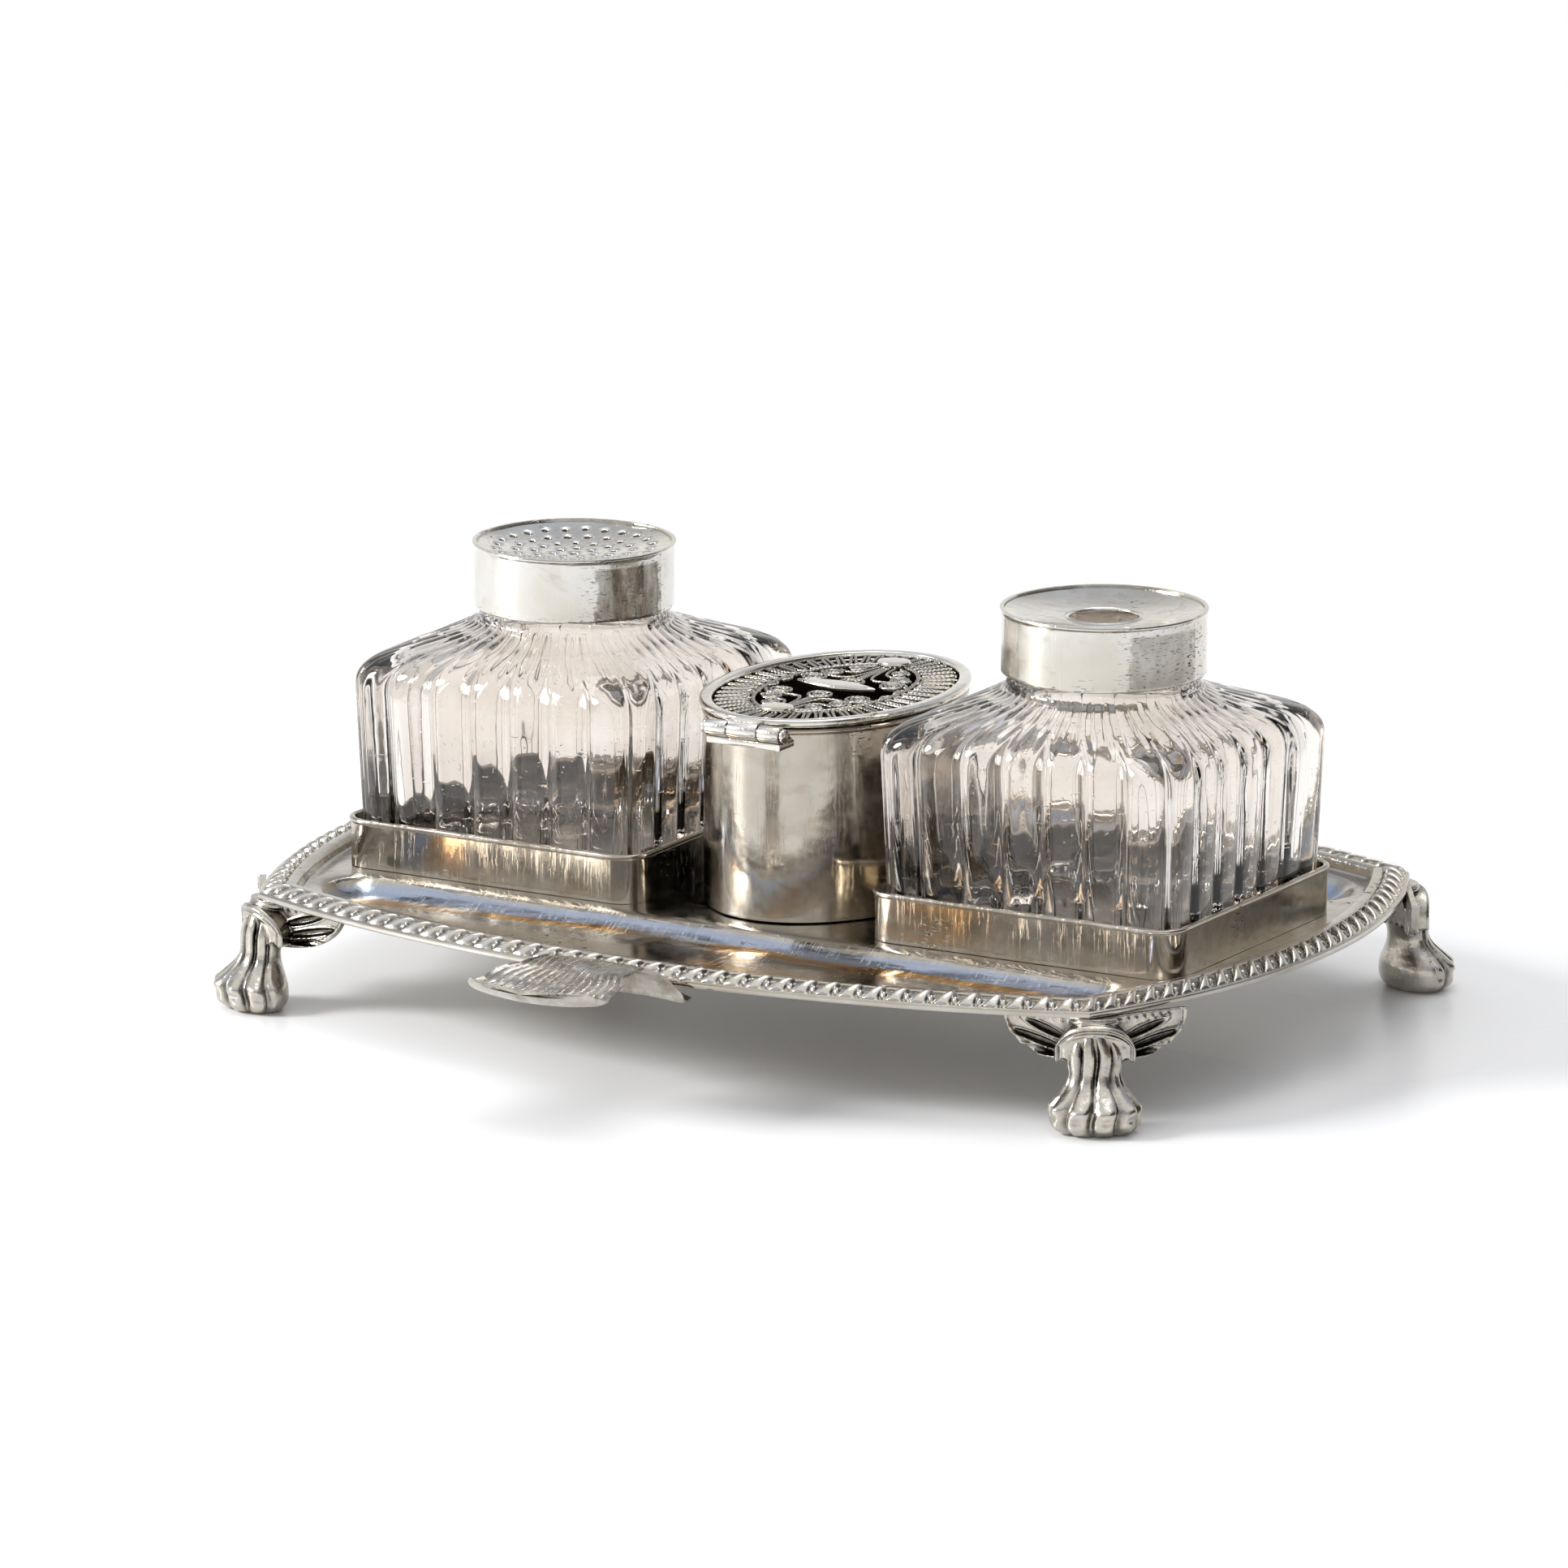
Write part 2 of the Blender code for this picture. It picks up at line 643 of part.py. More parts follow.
def mitred_loop(points, half_width, low, high):
    """Wire of square section laid along a closed path in plan, mitred at its corners."""
    left, right = [], []
    for i, point in enumerate(points):
        before = (Vector(point) - Vector(points[i - 1])).normalized()
        after = (Vector(points[(i + 1) % len(points)]) - Vector(point)).normalized()
        first, second = Vector((-before.y, before.x)), Vector((-after.y, after.x))
        mitre = (first + second) * (half_width / (1 + first.dot(second)))
        left.append(Vector(point) + mitre)
        right.append(Vector(point) - mitre)
    rings = [[Vector((*p, z)) for p in side]
             for side, z in ((right, low), (right, high), (left, high), (left, low))]
    return hoop(rings)


def make_lid_border(material, parent, location):
    """One wire folded to and fro round the band between the lid's ring and the inner oval."""
    half_wire = 0.0004
    inset = GAP + half_wire
    points = []
    quarter_pitch = math.pi / 2 / BORDER_LOOPS
    for i in range(BORDER_LOOPS):
        middle = 2 * math.pi * i / BORDER_LOOPS
        for turn, is_outer in ((middle - quarter_pitch, False), (middle - quarter_pitch, True),
                               (middle + quarter_pitch, True), (middle + quarter_pitch, False)):
            a = LID_OPEN_A - inset if is_outer else INNER_A + inset
            b = LID_OPEN_B - inset if is_outer else INNER_B + inset
            points.append((a * math.cos(turn), b * math.sin(turn)))
    wire = mitred_loop(points, half_wire, WIRE_BOTTOM, WIRE_TOP)
    make_object("lid_border_wire", wire, material, parent, location)


# Scroll coils of one quarter of the lid: place and radius, from the middle outwards
COILS = ((0.0087, 0.0064, 0.0031), (0.0075, 0.0118, 0.0024), (0.0047, 0.0164, 0.0020))
COIL_BAND = 0.0011
# Curved stems of one quarter, from the end plaque to the coil that each one meets
STEMS = (((0.0008, 0.0195), (0.0010, 0.0150), (0.0018, 0.0110), (0.0034, 0.0087), (0.0061, 0.0076)),
         ((0.0019, 0.0196), (0.0021, 0.0165), (0.0032, 0.0133), (0.0056, 0.0109)))


def scroll_links():
    """Short ties that join each coil to the next one."""
    links = []
    for (x0, y0, r0), (x1, y1, r1) in zip(COILS, COILS[1:]):
        start, end = Vector((x0, y0)), Vector((x1, y1))
        ahead = (end - start).normalized()
        links.append((start + ahead * (r0 - COIL_BAND / 2), end - ahead * (r1 - COIL_BAND / 2)))
    return links


def make_lid_scrollwork(material, parent, location):
    inner = flat_ring(0, 0, INNER_A, INNER_B, 0.0007, WIRE_BOTTOM, WIRE_TOP, 36)
    make_object("lid_inner_frame", inner, material, parent, location)
    for end, sign_y in (("front", -1), ("back", 1)):
        eye = flat_ring(0, sign_y * 0.0062, 0.0026, 0.0026, 0.0007, WIRE_BOTTOM, WIRE_TOP, 12)
        make_object("lid_eyelet_" + end, eye, material, parent, location)
        for side, sign_x in (("left", -1), ("right", 1)):
            coils = [flat_ring(sign_x * x, sign_y * y, radius, radius, COIL_BAND, WIRE_BOTTOM, WIRE_TOP, 10)
                     for x, y, radius in COILS]
            wires = [flat_bar([(sign_x * x, sign_y * y) for x, y in path], 0.0003,
                              WIRE_BOTTOM + 0.0001, WIRE_TOP - 0.0001)
                     for path in list(STEMS) + scroll_links()]
            scroll = make_object("lid_scroll_%s_%s" % (end, side), coils[0], material, parent, location)
            for piece in coils[1:] + wires:
                add_boolean(scroll, piece, 'UNION')


def make_lid_plaques(material, parent, location):
    """Plain applied plaques: a pointed oval in the middle and a disc at each end."""
    half_length, half_height, steps = 0.0087, 0.0026, 8
    upper = [(half_length * (1 - 2 * i / steps), half_height * math.sin(math.pi * i / steps))
             for i in range(steps)]
    outline = upper + [(-x, -y) for x, y in upper]
    navette = loft([[Vector((x, y, z)) for x, y in outline] for z in (PLAQUE_BOTTOM, PLAQUE_TOP)])
    make_object("lid_navette", navette, material, parent, location)
    for name, sign in (("lid_disc_front", -1), ("lid_disc_back", 1)):
        disc = loft([ellipse(0.0034, 0.0029, z, 16) for z in (PLAQUE_BOTTOM, PLAQUE_TOP)])
        make_object(name, moved(disc, (0, sign * 0.0223, 0)), material, parent, location)


def hinge_shelf():
    """Seat of the hinge: hugs the box wall and carries the outer knuckles."""
    steps = 8
    a, b = BOX_A + GAP, BOX_B + GAP
    wall_side = []
    for i in range(steps + 1):
        x = HINGE_HALF * (1 - 2 * i / steps)
        wall_side.append((x, -b * math.sqrt(1 - (x / a) ** 2)))
    outline = [(-HINGE_HALF, HINGE_Y - 0.0006), (HINGE_HALF, HINGE_Y - 0.0006)] + wall_side
    return loft([[Vector((x, y, z)) for x, y in outline] for z in (HINGE_Z - 0.0026, HINGE_Z - 0.0009)])


def make_hinge(material, parent, lid_parent, lid_location):
    outer_start = MIDDLE_KNUCKLE_HALF + GAP
    box_leaf = make_object("hinge_leaf_box", hinge_shelf(), material, parent)
    for low, high in ((-HINGE_HALF, -outer_start), (outer_start, HINGE_HALF)):
        add_boolean(box_leaf, rod_along_x(low, high, HINGE_Y, HINGE_Z, KNUCKLE_RADIUS), 'UNION')
    room = rod_along_x(-outer_start, outer_start, HINGE_Y, HINGE_Z, KNUCKLE_RADIUS + GAP)
    add_boolean(box_leaf, room, 'DIFFERENCE')
    bore = rod_along_x(-0.01, 0.01, HINGE_Y, HINGE_Z, HINGE_BORE, 12)
    add_boolean(box_leaf, bore, 'DIFFERENCE')

    tab = box((-MIDDLE_KNUCKLE_HALF, HINGE_Y - 0.0005, HINGE_Z + 0.0008),
              (MIDDLE_KNUCKLE_HALF, -LID_B - GAP, LID_TOP - 0.0002))
    lid_leaf = make_object("hinge_leaf_lid", tab, material, lid_parent, lid_location)
    middle = rod_along_x(-MIDDLE_KNUCKLE_HALF, MIDDLE_KNUCKLE_HALF, HINGE_Y, HINGE_Z, KNUCKLE_RADIUS)
    add_boolean(lid_leaf, middle, 'UNION')
    add_boolean(lid_leaf, bore, 'DIFFERENCE')

    head = 0.0007
    end = HINGE_HALF + GAP
    turned = ((-end - head, 0.0009), (-end - head / 2, 0.0013), (-end, 0.0013), (-end, PIN_RADIUS),
              (end, PIN_RADIUS), (end, 0.0013), (end + head / 2, 0.0013), (end + head, 0.0009))
    rings = []
    for x, radius in turned:
        rings.append([Vector((x, HINGE_Y + radius * math.cos(2 * math.pi * i / 12),
                              HINGE_Z + radius * math.sin(2 * math.pi * i / 12))) for i in range(12)])
    make_object("hinge_pin", loft(rings), material, parent)


# ---- Assembly ------------------------------------------------------------
def make_lid(silver, dark_silver, parent):
    """Hangs every lid piece on an empty that sits on the hinge's axis."""
    axis = make_empty("lid_hinge_axis", parent, (0, HINGE_Y, HINGE_Z))
    location = (0, -HINGE_Y, -HINGE_Z)
    make_lid_ring(silver, axis, location)
    make_lid_border(dark_silver, axis, location)
    make_lid_scrollwork(dark_silver, axis, location)
    make_lid_plaques(silver, axis, location)
    return axis, location


def make_standish():
    clear_scene()
    silver = make_material("polished_silver", (0.82, 0.79, 0.72), 0.18, 1.0)
    cast_silver = make_material("cast_silver", (0.55, 0.52, 0.47), 0.32, 1.0)
    wire_silver = make_material("filigree_silver", (0.45, 0.43, 0.39), 0.35, 1.0)
    glass = make_material("pressed_glass", (0.88, 0.82, 0.83), 0.05, 0.0, 0.35)

    standish = make_empty("standish", location=(0, STANDISH_SHIFT, 0))
    make_tray(silver, standish)
    for side in ("front", "right", "back", "left"):
        make_border(side, cast_silver, standish)
    for name, flip_x, flip_y in (("foot_front_right", False, False), ("foot_front_left", True, False),
                                 ("foot_back_right", False, True), ("foot_back_left", True, True)):
        make_foot(name, flip_x, flip_y, cast_silver, standish)
    make_handle(cast_silver, standish)
    make_gallery("gallery_left", silver, standish, -BOTTLE_X)
    make_gallery("gallery_right", silver, standish, BOTTLE_X)

    for kind, x in (("pounce", -BOTTLE_X), ("ink", BOTTLE_X)):
        bottle_axis = make_empty(kind + "_bottle_lift_axis", standish, (x, 0, 0))
        make_bottle(kind + "_bottle", glass, bottle_axis)
        cap_axis = make_empty(kind + "_cap_lift_axis", bottle_axis)
        make_collar(kind + "_collar", silver, cap_axis)
        if kind == "pounce":
            make_pounce_dish(silver, cap_axis)
        else:
            make_ink_dish(silver, cap_axis)

    make_box(silver, standish)
    lid_axis, lid_location = make_lid(silver, wire_silver, standish)
    make_hinge(silver, standish, lid_axis, lid_location)
    bpy.context.view_layer.update()


make_standish()
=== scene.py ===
"""Looks of the silver desk standish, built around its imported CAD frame.

Lengths inside the shape functions are millimetres, measured from the middle of
the tray at floor level. add_piece turns them into metres in the row frame.
"""
import math

import bmesh
import bpy
import numpy as np
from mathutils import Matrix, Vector
from mathutils.geometry import delaunay_2d_cdt


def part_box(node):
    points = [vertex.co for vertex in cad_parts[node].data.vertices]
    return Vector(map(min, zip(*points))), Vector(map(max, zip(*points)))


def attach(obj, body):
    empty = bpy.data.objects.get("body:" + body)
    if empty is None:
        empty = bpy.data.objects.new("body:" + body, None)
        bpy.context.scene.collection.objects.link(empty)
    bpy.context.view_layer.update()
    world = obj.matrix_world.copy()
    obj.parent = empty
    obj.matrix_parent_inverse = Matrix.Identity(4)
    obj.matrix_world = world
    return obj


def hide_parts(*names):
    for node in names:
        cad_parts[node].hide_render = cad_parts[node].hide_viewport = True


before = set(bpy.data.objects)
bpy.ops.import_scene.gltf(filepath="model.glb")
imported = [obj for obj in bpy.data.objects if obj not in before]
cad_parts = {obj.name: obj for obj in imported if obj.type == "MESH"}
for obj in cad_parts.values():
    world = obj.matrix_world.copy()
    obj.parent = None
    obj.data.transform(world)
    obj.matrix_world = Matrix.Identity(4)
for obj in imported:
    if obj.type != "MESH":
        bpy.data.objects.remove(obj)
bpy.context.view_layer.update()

MM = 0.001
TURN = 2 * math.pi


def node_box(node):
    """Lowest and highest corner of a CAD node, in millimetres from the row's origin."""
    low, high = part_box(node)
    return np.array(low) / MM, np.array(high) / MM


TRAY_LOW, TRAY_HIGH = node_box("tray_plate")
MIDDLE = (TRAY_LOW + TRAY_HIGH) / 2 * (1, 1, 0)


def local_box(node):
    """Lowest and highest corner of a CAD node, in millimetres from the middle of the tray."""
    low, high = node_box(node)
    return low - MIDDLE, high - MIDDLE


# ---- Tray outline: four bowed edges that meet at sharp corners ------------------
CORNER_X = 91.0
CORNER_Y = 63.4
BOW_LONG = TRAY_HIGH[1] - MIDDLE[1] - CORNER_Y
BOW_END = TRAY_HIGH[0] - MIDDLE[0] - CORNER_X
LONG_RADIUS = (CORNER_X ** 2 + BOW_LONG ** 2) / (2 * BOW_LONG)
END_RADIUS = (CORNER_Y ** 2 + BOW_END ** 2) / (2 * BOW_END)
LONG_CENTRE = LONG_RADIUS - CORNER_Y - BOW_LONG      # front edge's centre is at +Y
END_CENTRE = END_RADIUS - CORNER_X - BOW_END         # right edge's centre is at -X
FLOOR_TOP = 21.6
SHEET = 0.7

BOTTLE_X = sum(local_box("ink_bottle"))[0] / 2
BOTTLE_FOOT = local_box("ink_bottle")[0][2]
CAP_TOP = local_box("ink_collar")[1][2]
HINGE_Y, HINGE_Z = sum(local_box("hinge_pin"))[1:] / 2


# ---- Number and mesh helpers ----------------------------------------------------
def unit(value):
    """Value held between 0 and 1."""
    return np.clip(value, 0, 1)


def off_whole(value):
    """Signed distance from the nearest whole number."""
    return (value + 0.5) % 1.0 - 0.5


def bump(value, width):
    """Rounded bump of height 1 at 0."""
    return np.exp(-(value / width) ** 2)


def through(keys, count):
    """Smooth curve through rows of numbers, as count rows (a Catmull-Rom spline)."""
    keys = np.array(keys, float)
    place = np.linspace(0, len(keys) - 1, count)
    start = np.minimum(place.astype(int), len(keys) - 2)
    t = (place - start)[:, None]
    padded = np.vstack([2 * keys[0] - keys[1], keys, 2 * keys[-1] - keys[-2]])
    p0, p1, p2, p3 = (padded[start + i] for i in range(4))
    return 0.5 * (2 * p1 + (p2 - p0) * t + (2 * p0 - 5 * p1 + 4 * p2 - p3) * t ** 2
                  + (3 * p1 - p0 - 3 * p2 + p3) * t ** 3)


def index_faces(index, wrap_rows=False, wrap_columns=False):
    """Quads between neighbouring entries of a table of vertex numbers."""
    below = np.roll(index, -1, axis=0) if wrap_rows else index[1:]
    here = index if wrap_rows else index[:-1]
    if wrap_columns:
        return np.stack([here, np.roll(here, -1, 1), np.roll(below, -1, 1), below], -1).reshape(-1, 4)
    return np.stack([here[:, :-1], here[:, 1:], below[:, 1:], below[:, :-1]], -1).reshape(-1, 4)


def sheet_of(rings, wrap_rows=False, wrap_columns=True, caps=False):
    """Shape (vertices, faces) from an array of rings, each an array of points."""
    rings = np.asarray(rings, float)
    index = np.arange(rings.shape[0] * rings.shape[1]).reshape(rings.shape[:2])
    faces = index_faces(index, wrap_rows, wrap_columns).tolist()
    if caps:
        faces += [index[0].tolist(), index[-1].tolist()]
    return rings.reshape(-1, 3), faces


def join(*shapes):
    """One shape that holds several."""
    vertices, faces, offset = [], [], 0
    for points, polygons in shapes:
        vertices.append(points)
        faces += [[i + offset for i in face] for face in polygons]
        offset += len(points)
    return np.vstack(vertices), faces


def moved(shape, offset):
    return shape[0] + np.array(offset, float), shape[1]


def mirrored(shape, flip_x, flip_y):
    signs = np.array([-1.0 if flip_x else 1.0, -1.0 if flip_y else 1.0, 1.0])
    return shape[0] * signs, shape[1]


def with_height(points, height):
    """Plan points (..., 2) raised to a height, which may be an array."""
    points = np.asarray(points, float)
    return np.concatenate([points, np.broadcast_to(height, points.shape[:-1])[..., None]], -1)


def lathe(profile, count=128):
    """Closed ring or solid turned about Z from (radius, height) pairs that run round its section."""
    profile = np.array(profile, float)
    turn = np.arange(count) * TURN / count
    rings = np.stack([profile[:, :1] * np.cos(turn), profile[:, :1] * np.sin(turn),
                      np.repeat(profile[:, 1:], count, 1)], -1)
    return sheet_of(rings, wrap_rows=True)


def ellipse(a, b, count):
    turn = np.arange(count) * TURN / count
    return np.stack([a * np.cos(turn), b * np.sin(turn)], -1)


def make_mesh(name, shape):
    """Mesh in metres, in the row frame, with every face turned outwards."""
    vertices, faces = shape
    mesh = bpy.data.meshes.new(name)
    mesh.from_pydata(((vertices + MIDDLE) * MM).tolist(), [], faces)
    work = bmesh.new()
    work.from_mesh(mesh)
    bmesh.ops.recalc_face_normals(work, faces=work.faces)
    work.to_mesh(mesh)
    work.free()
    return mesh


NO_EDGES = 180            # angle at which a piece is smooth all over


def add_piece(name, shape, body, nodes, material, sharp=45):
    """Named piece that rides on a body and stands for CAD nodes."""
    mesh = make_mesh(name, shape)
    mesh.materials.append(material)
    mesh.shade_smooth()
    mesh.set_sharp_from_angle(angle=math.radians(sharp))
    piece = bpy.data.objects.new(name, mesh)
    bpy.context.scene.collection.objects.link(piece)
    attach(piece, body)
    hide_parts(*nodes)
    return piece


# ---- Tray -----------------------------------------------------------------------
def corner_at(inset):
    """Corner (+X, -Y) of the tray's outline moved inwards by inset."""
    long_radius, end_radius = LONG_RADIUS - inset, END_RADIUS - inset
    long_centre = np.array([0.0, LONG_CENTRE])
    to_end = np.array([-END_CENTRE, 0.0]) - long_centre
    distance = np.hypot(*to_end)
    along = (long_radius ** 2 - end_radius ** 2 + distance ** 2) / (2 * distance)
    across = math.sqrt(long_radius ** 2 - along ** 2)
    unit = to_end / distance
    return long_centre + unit * along + np.array([-unit[1], unit[0]]) * across


def edge_line(side, inset, shares):
    """Points of one bowed edge; shares run from 0 to 1 anticlockwise between its corners."""
    corner = corner_at(inset)
    if side in ("front", "back"):
        radius = LONG_RADIUS - inset
        turn = math.asin(corner[0] / radius) * (2 * shares - 1)
        points = np.stack([radius * np.sin(turn), LONG_CENTRE - radius * np.cos(turn)], -1)
    else:
        radius = END_RADIUS - inset
        turn = math.asin(-corner[1] / radius) * (2 * shares - 1)
        points = np.stack([radius * np.cos(turn) - END_CENTRE, radius * np.sin(turn)], -1)
    return -points if side in ("back", "left") else points


def edge_length(side):
    if side in ("front", "back"):
        return LONG_RADIUS * 2 * math.asin(CORNER_X / LONG_RADIUS)
    return END_RADIUS * 2 * math.asin(CORNER_Y / END_RADIUS)


SIDES = ("front", "right", "back", "left")
TRAY_COLUMNS = 250
TRAY_ROWS = 200
FLOOR_INSET = 8.6
# Rim section from the floor outwards and back underneath: inset, height
RIM_SECTION = ((8.1, 21.62), (7.75, 21.85), (7.5, 22.6), (7.3, 23.35), (7.0, 23.72), (6.6, 23.82),
               (5.7, 23.86), (5.3, 23.84), (5.05, 23.6), (5.0, 22.7), (0.75, 22.62), (0.35, 22.58),
               (0.1, 22.35), (0.0, 21.95), (0.05, 21.55), (0.25, 21.28), (0.7, 21.15), (4.0, 21.1),
               (6.6, 20.95))
TROUGH_EDGE_Y = 37.0
TROUGH_INSET = 11.1
TROUGH_END_X = 87.0
TROUGH_DEPTH = 3.4
TROUGH_SLOPE = 7.5        # run of the trough's side, from its lip to its flat
TROUGH_CORNER = 8.0
TROUGH_LIP = 0.9          # softness of the trough's upper edge


def coons_patch(inset, columns, rows):
    """Plan grid that fills the tray's outline, moved inwards by inset."""
    u = np.linspace(0, 1, columns + 1)
    v = np.linspace(0, 1, rows + 1)
    front, back = edge_line("front", inset, u), edge_line("back", inset, 1 - u)
    right, left = edge_line("right", inset, v), edge_line("left", inset, 1 - v)
    uu, vv = u[None, :, None], v[:, None, None]
    blend = (1 - vv) * front[None] + vv * back[None] + (1 - uu) * left[:, None] + uu * right[:, None]
    corners = ((1 - uu) * (1 - vv) * front[0] + uu * (1 - vv) * front[-1]
               + (1 - uu) * vv * back[0] + uu * vv * back[-1])
    return blend - corners


def trough_depth(points):
    """How far the tray's floor is pressed down at plan points."""
    x, y = np.abs(points[..., 0]), -np.abs(points[..., 1])
    to_sides = np.stack([-TROUGH_EDGE_Y - y,
                         LONG_RADIUS - TROUGH_INSET - np.hypot(x, y - LONG_CENTRE),
                         TROUGH_END_X - x])
    inside = TROUGH_CORNER - np.sqrt((np.maximum(TROUGH_CORNER - to_sides, 0) ** 2).sum(0))
    inside = (inside + np.sqrt(inside ** 2 + TROUGH_LIP ** 2)) / 2
    share = unit(inside / TROUGH_SLOPE)
    return TROUGH_DEPTH * (1 - (1 - share) ** 2.2)


def hand_wave(points, size):
    """Slow unevenness of hand-worked sheet."""
    x, y = points[..., 0], points[..., 1]
    return size * (np.sin(x / 6.1 + 0.7 * np.sin(y / 7.3)) * np.sin(y / 5.3 + 1.1)
                   + 0.6 * np.sin(x / 3.4 - y / 4.6))


def tray_shape():
    plan = coons_patch(FLOOR_INSET, TRAY_COLUMNS, TRAY_ROWS)
    height = FLOOR_TOP - trough_depth(plan) + hand_wave(plan, 0.012)
    top = with_height(plan, height)
    under = with_height(plan, height - SHEET)
    count = 2 * (TRAY_COLUMNS + TRAY_ROWS)
    sides = [(side, np.arange(steps) / steps) for side, steps in zip(SIDES, (TRAY_COLUMNS, TRAY_ROWS) * 2)]
    rings = [with_height(np.vstack([edge_line(side, inset, shares) for side, shares in sides]), z)
             for inset, z in RIM_SECTION]
    vertices = np.vstack([top.reshape(-1, 3), under.reshape(-1, 3), np.vstack(rings)])
    index = np.arange(plan.shape[0] * plan.shape[1]).reshape(plan.shape[:2])
    edge = np.concatenate([index[0, :-1], index[:-1, -1], index[-1, :0:-1], index[:0:-1, 0]])
    ring_index = 2 * index.size + np.arange(len(rings) * count).reshape(len(rings), count)
    wall = np.vstack([edge[None], ring_index, index.size + edge[None]])
    faces = np.vstack([index_faces(index), index.size + index_faces(index)[:, ::-1],
                       index_faces(wall, wrap_columns=True)])
    return vertices, faces.tolist()


# ---- Gadrooned border -----------------------------------------------------------
GADROON_PITCH = 4.7
GADROON_RELIEF = 1.15
GADROON_OUTER = 0.75      # inset of the strip's outer and inner sides
GADROON_INNER = 5.15
GADROON_FOOT = 22.55
LOBE_SAMPLES = 22


def gadroon_height(phase, across):
    """Height of the ornament: a comma-shaped lobe and a small pearl behind it in every unit."""
    sweep = 0.62 * (across ** 1.3) * (1.6 - 0.6 * across)
    half_width = 0.33 - 0.15 * across
    apart = off_whole(phase - sweep)
    lobe = np.sqrt(unit(1 - (apart / half_width) ** 2))
    lobe = lobe * unit(1 - (np.abs(across - 0.47) / 0.53) ** 3.5) ** 0.5
    pearl_apart = off_whole(phase - 0.60)
    pearl = unit(1 - (pearl_apart / 0.13) ** 2 - ((across - 0.36) / 0.15) ** 2) ** 0.5
    return np.maximum(lobe, 0.62 * pearl)


def gadroon_shape(side):
    units = round(edge_length(side) / GADROON_PITCH)
    shares = np.linspace(0, 1, units * LOBE_SAMPLES + 1)
    across = np.linspace(0, 1, 18)
    rows = []
    for w in across:
        inset = GADROON_OUTER + (GADROON_INNER - GADROON_OUTER) * w
        base = GADROON_FOOT + 1.25 * math.sin(min(w * 1.25, 1) * math.pi / 2) - 0.55 * max(0, w - 0.8) / 0.2
        relief = GADROON_RELIEF * (0.75 + 0.25 * math.sin(w * math.pi))
        height = base + relief * (gadroon_height(shares * units, w) - 0.35)
        rows.append(with_height(edge_line(side, inset, shares), np.maximum(height, GADROON_FOOT)))
    for inset in (GADROON_INNER, GADROON_OUTER):
        rows.append(with_height(edge_line(side, inset, shares), GADROON_FOOT - 0.2))
    sections = np.stack(rows, 1)
    return sheet_of(sections, caps=True)


# ---- Paw feet -------------------------------------------------------------------
# Sections of a leg from the floor up: height, rearmost, foremost, half width.
# Distances run from the tray's corner, the way that the foot faces.
LEG_SECTIONS = ((0.0, -4.4, 4.2, 6.2), (0.7, -5.3, 5.6, 7.5), (2.2, -6.1, 6.8, 8.5),
                (4.6, -6.1, 7.1, 8.6), (6.4, -5.8, 5.9, 7.5), (7.8, -5.5, 4.4, 6.3),
                (9.2, -5.3, 3.0, 5.3), (10.8, -5.2, 2.2, 4.9), (12.6, -5.4, 2.0, 5.2),
                (14.6, -6.0, 1.9, 5.2), (16.4, -6.6, 1.6, 4.6), (18.0, -7.0, 1.0, 3.5),
                (19.4, -7.0, 0.0, 2.2))
LEG_TOP = 21.2
FOOT_FACING = math.radians(-61)    # the way the front right foot faces, from +X
TOE_TURN = math.radians(39)
HOOD_HALF_WIDTH = 7.6
HOOD_FOOT = 12.6
HOOD_REAR = -6.0
WING_LENGTH = 20.0
WING_DEPTH = 8.9
WING_TURN = math.radians(61)       # between a wing and the foot's own line
# Hollows of a wing: distance along, height, tilt, half length, half width
WING_HOLLOWS = ((12.2, 13.9, 5, 4.6, 0.72), (12.6, 15.9, 12, 5.6, 0.84), (11.0, 18.1, 17, 4.6, 0.84))
FOOT_VOXEL = 0.15
FOOT_SHIFT = 1.2          # the feet sit this much outside the tray's corners, along X


def corner_axes():
    """Corner (+X, -Y), and the unit directions that a foot there faces and spreads along."""
    outwards = np.array([math.cos(FOOT_FACING), math.sin(FOOT_FACING)])
    return corner_at(0.0), outwards, np.array([-outwards[1], outwards[0]])


def foot_plan(ahead, aside):
    """Plan points at distances ahead of the corner and beside it, the way that the foot faces."""
    corner, outwards, sideways = corner_axes()
    return corner + ahead[..., None] * outwards + aside[..., None] * sideways


def leg_shape():
    """Leg and paw: ridged tendons that spread from the knee and end in four toes."""
    sections = through(LEG_SECTIONS, 110)
    turn = (np.arange(180) * TURN / 180)[None, :]
    facing = np.angle(np.exp(1j * turn))
    z, rear, front, half_width = (sections[:, i:i + 1] for i in range(4))
    wander = 0.22 * np.sin(z / 3.1 + 0.6) + 0.10 * np.sin(z / 1.3)
    ahead = (np.abs(facing) < 2.5 * TOE_TURN) * bump(facing, math.radians(110))
    valley = bump(off_whole(facing / TOE_TURN + wander * 0.5), 0.16)
    toe = bump((facing / TOE_TURN + wander * 0.5) % 1.0 - 0.5, 0.24)
    groove = 0.20 * bump(z - 2.5, 3.6) + 0.24 * bump(z - 10.5, 4.4) + 0.26 * bump(z - 16.0, 3.2)
    knuckle = 0.09 * bump(z - 5.2, 1.1) + 0.05 * bump(z - 1.6, 0.9) - 0.05 * bump(z - 3.4, 0.6)
    scale = 1 - groove * valley * ahead + knuckle * toe * ahead
    out = (rear + front) / 2 + (front - rear) / 2 * scale * np.cos(turn)
    side = half_width * scale * np.sin(turn)
    return sheet_of(with_height(foot_plan(out, side), np.broadcast_to(z, out.shape)), caps=True)


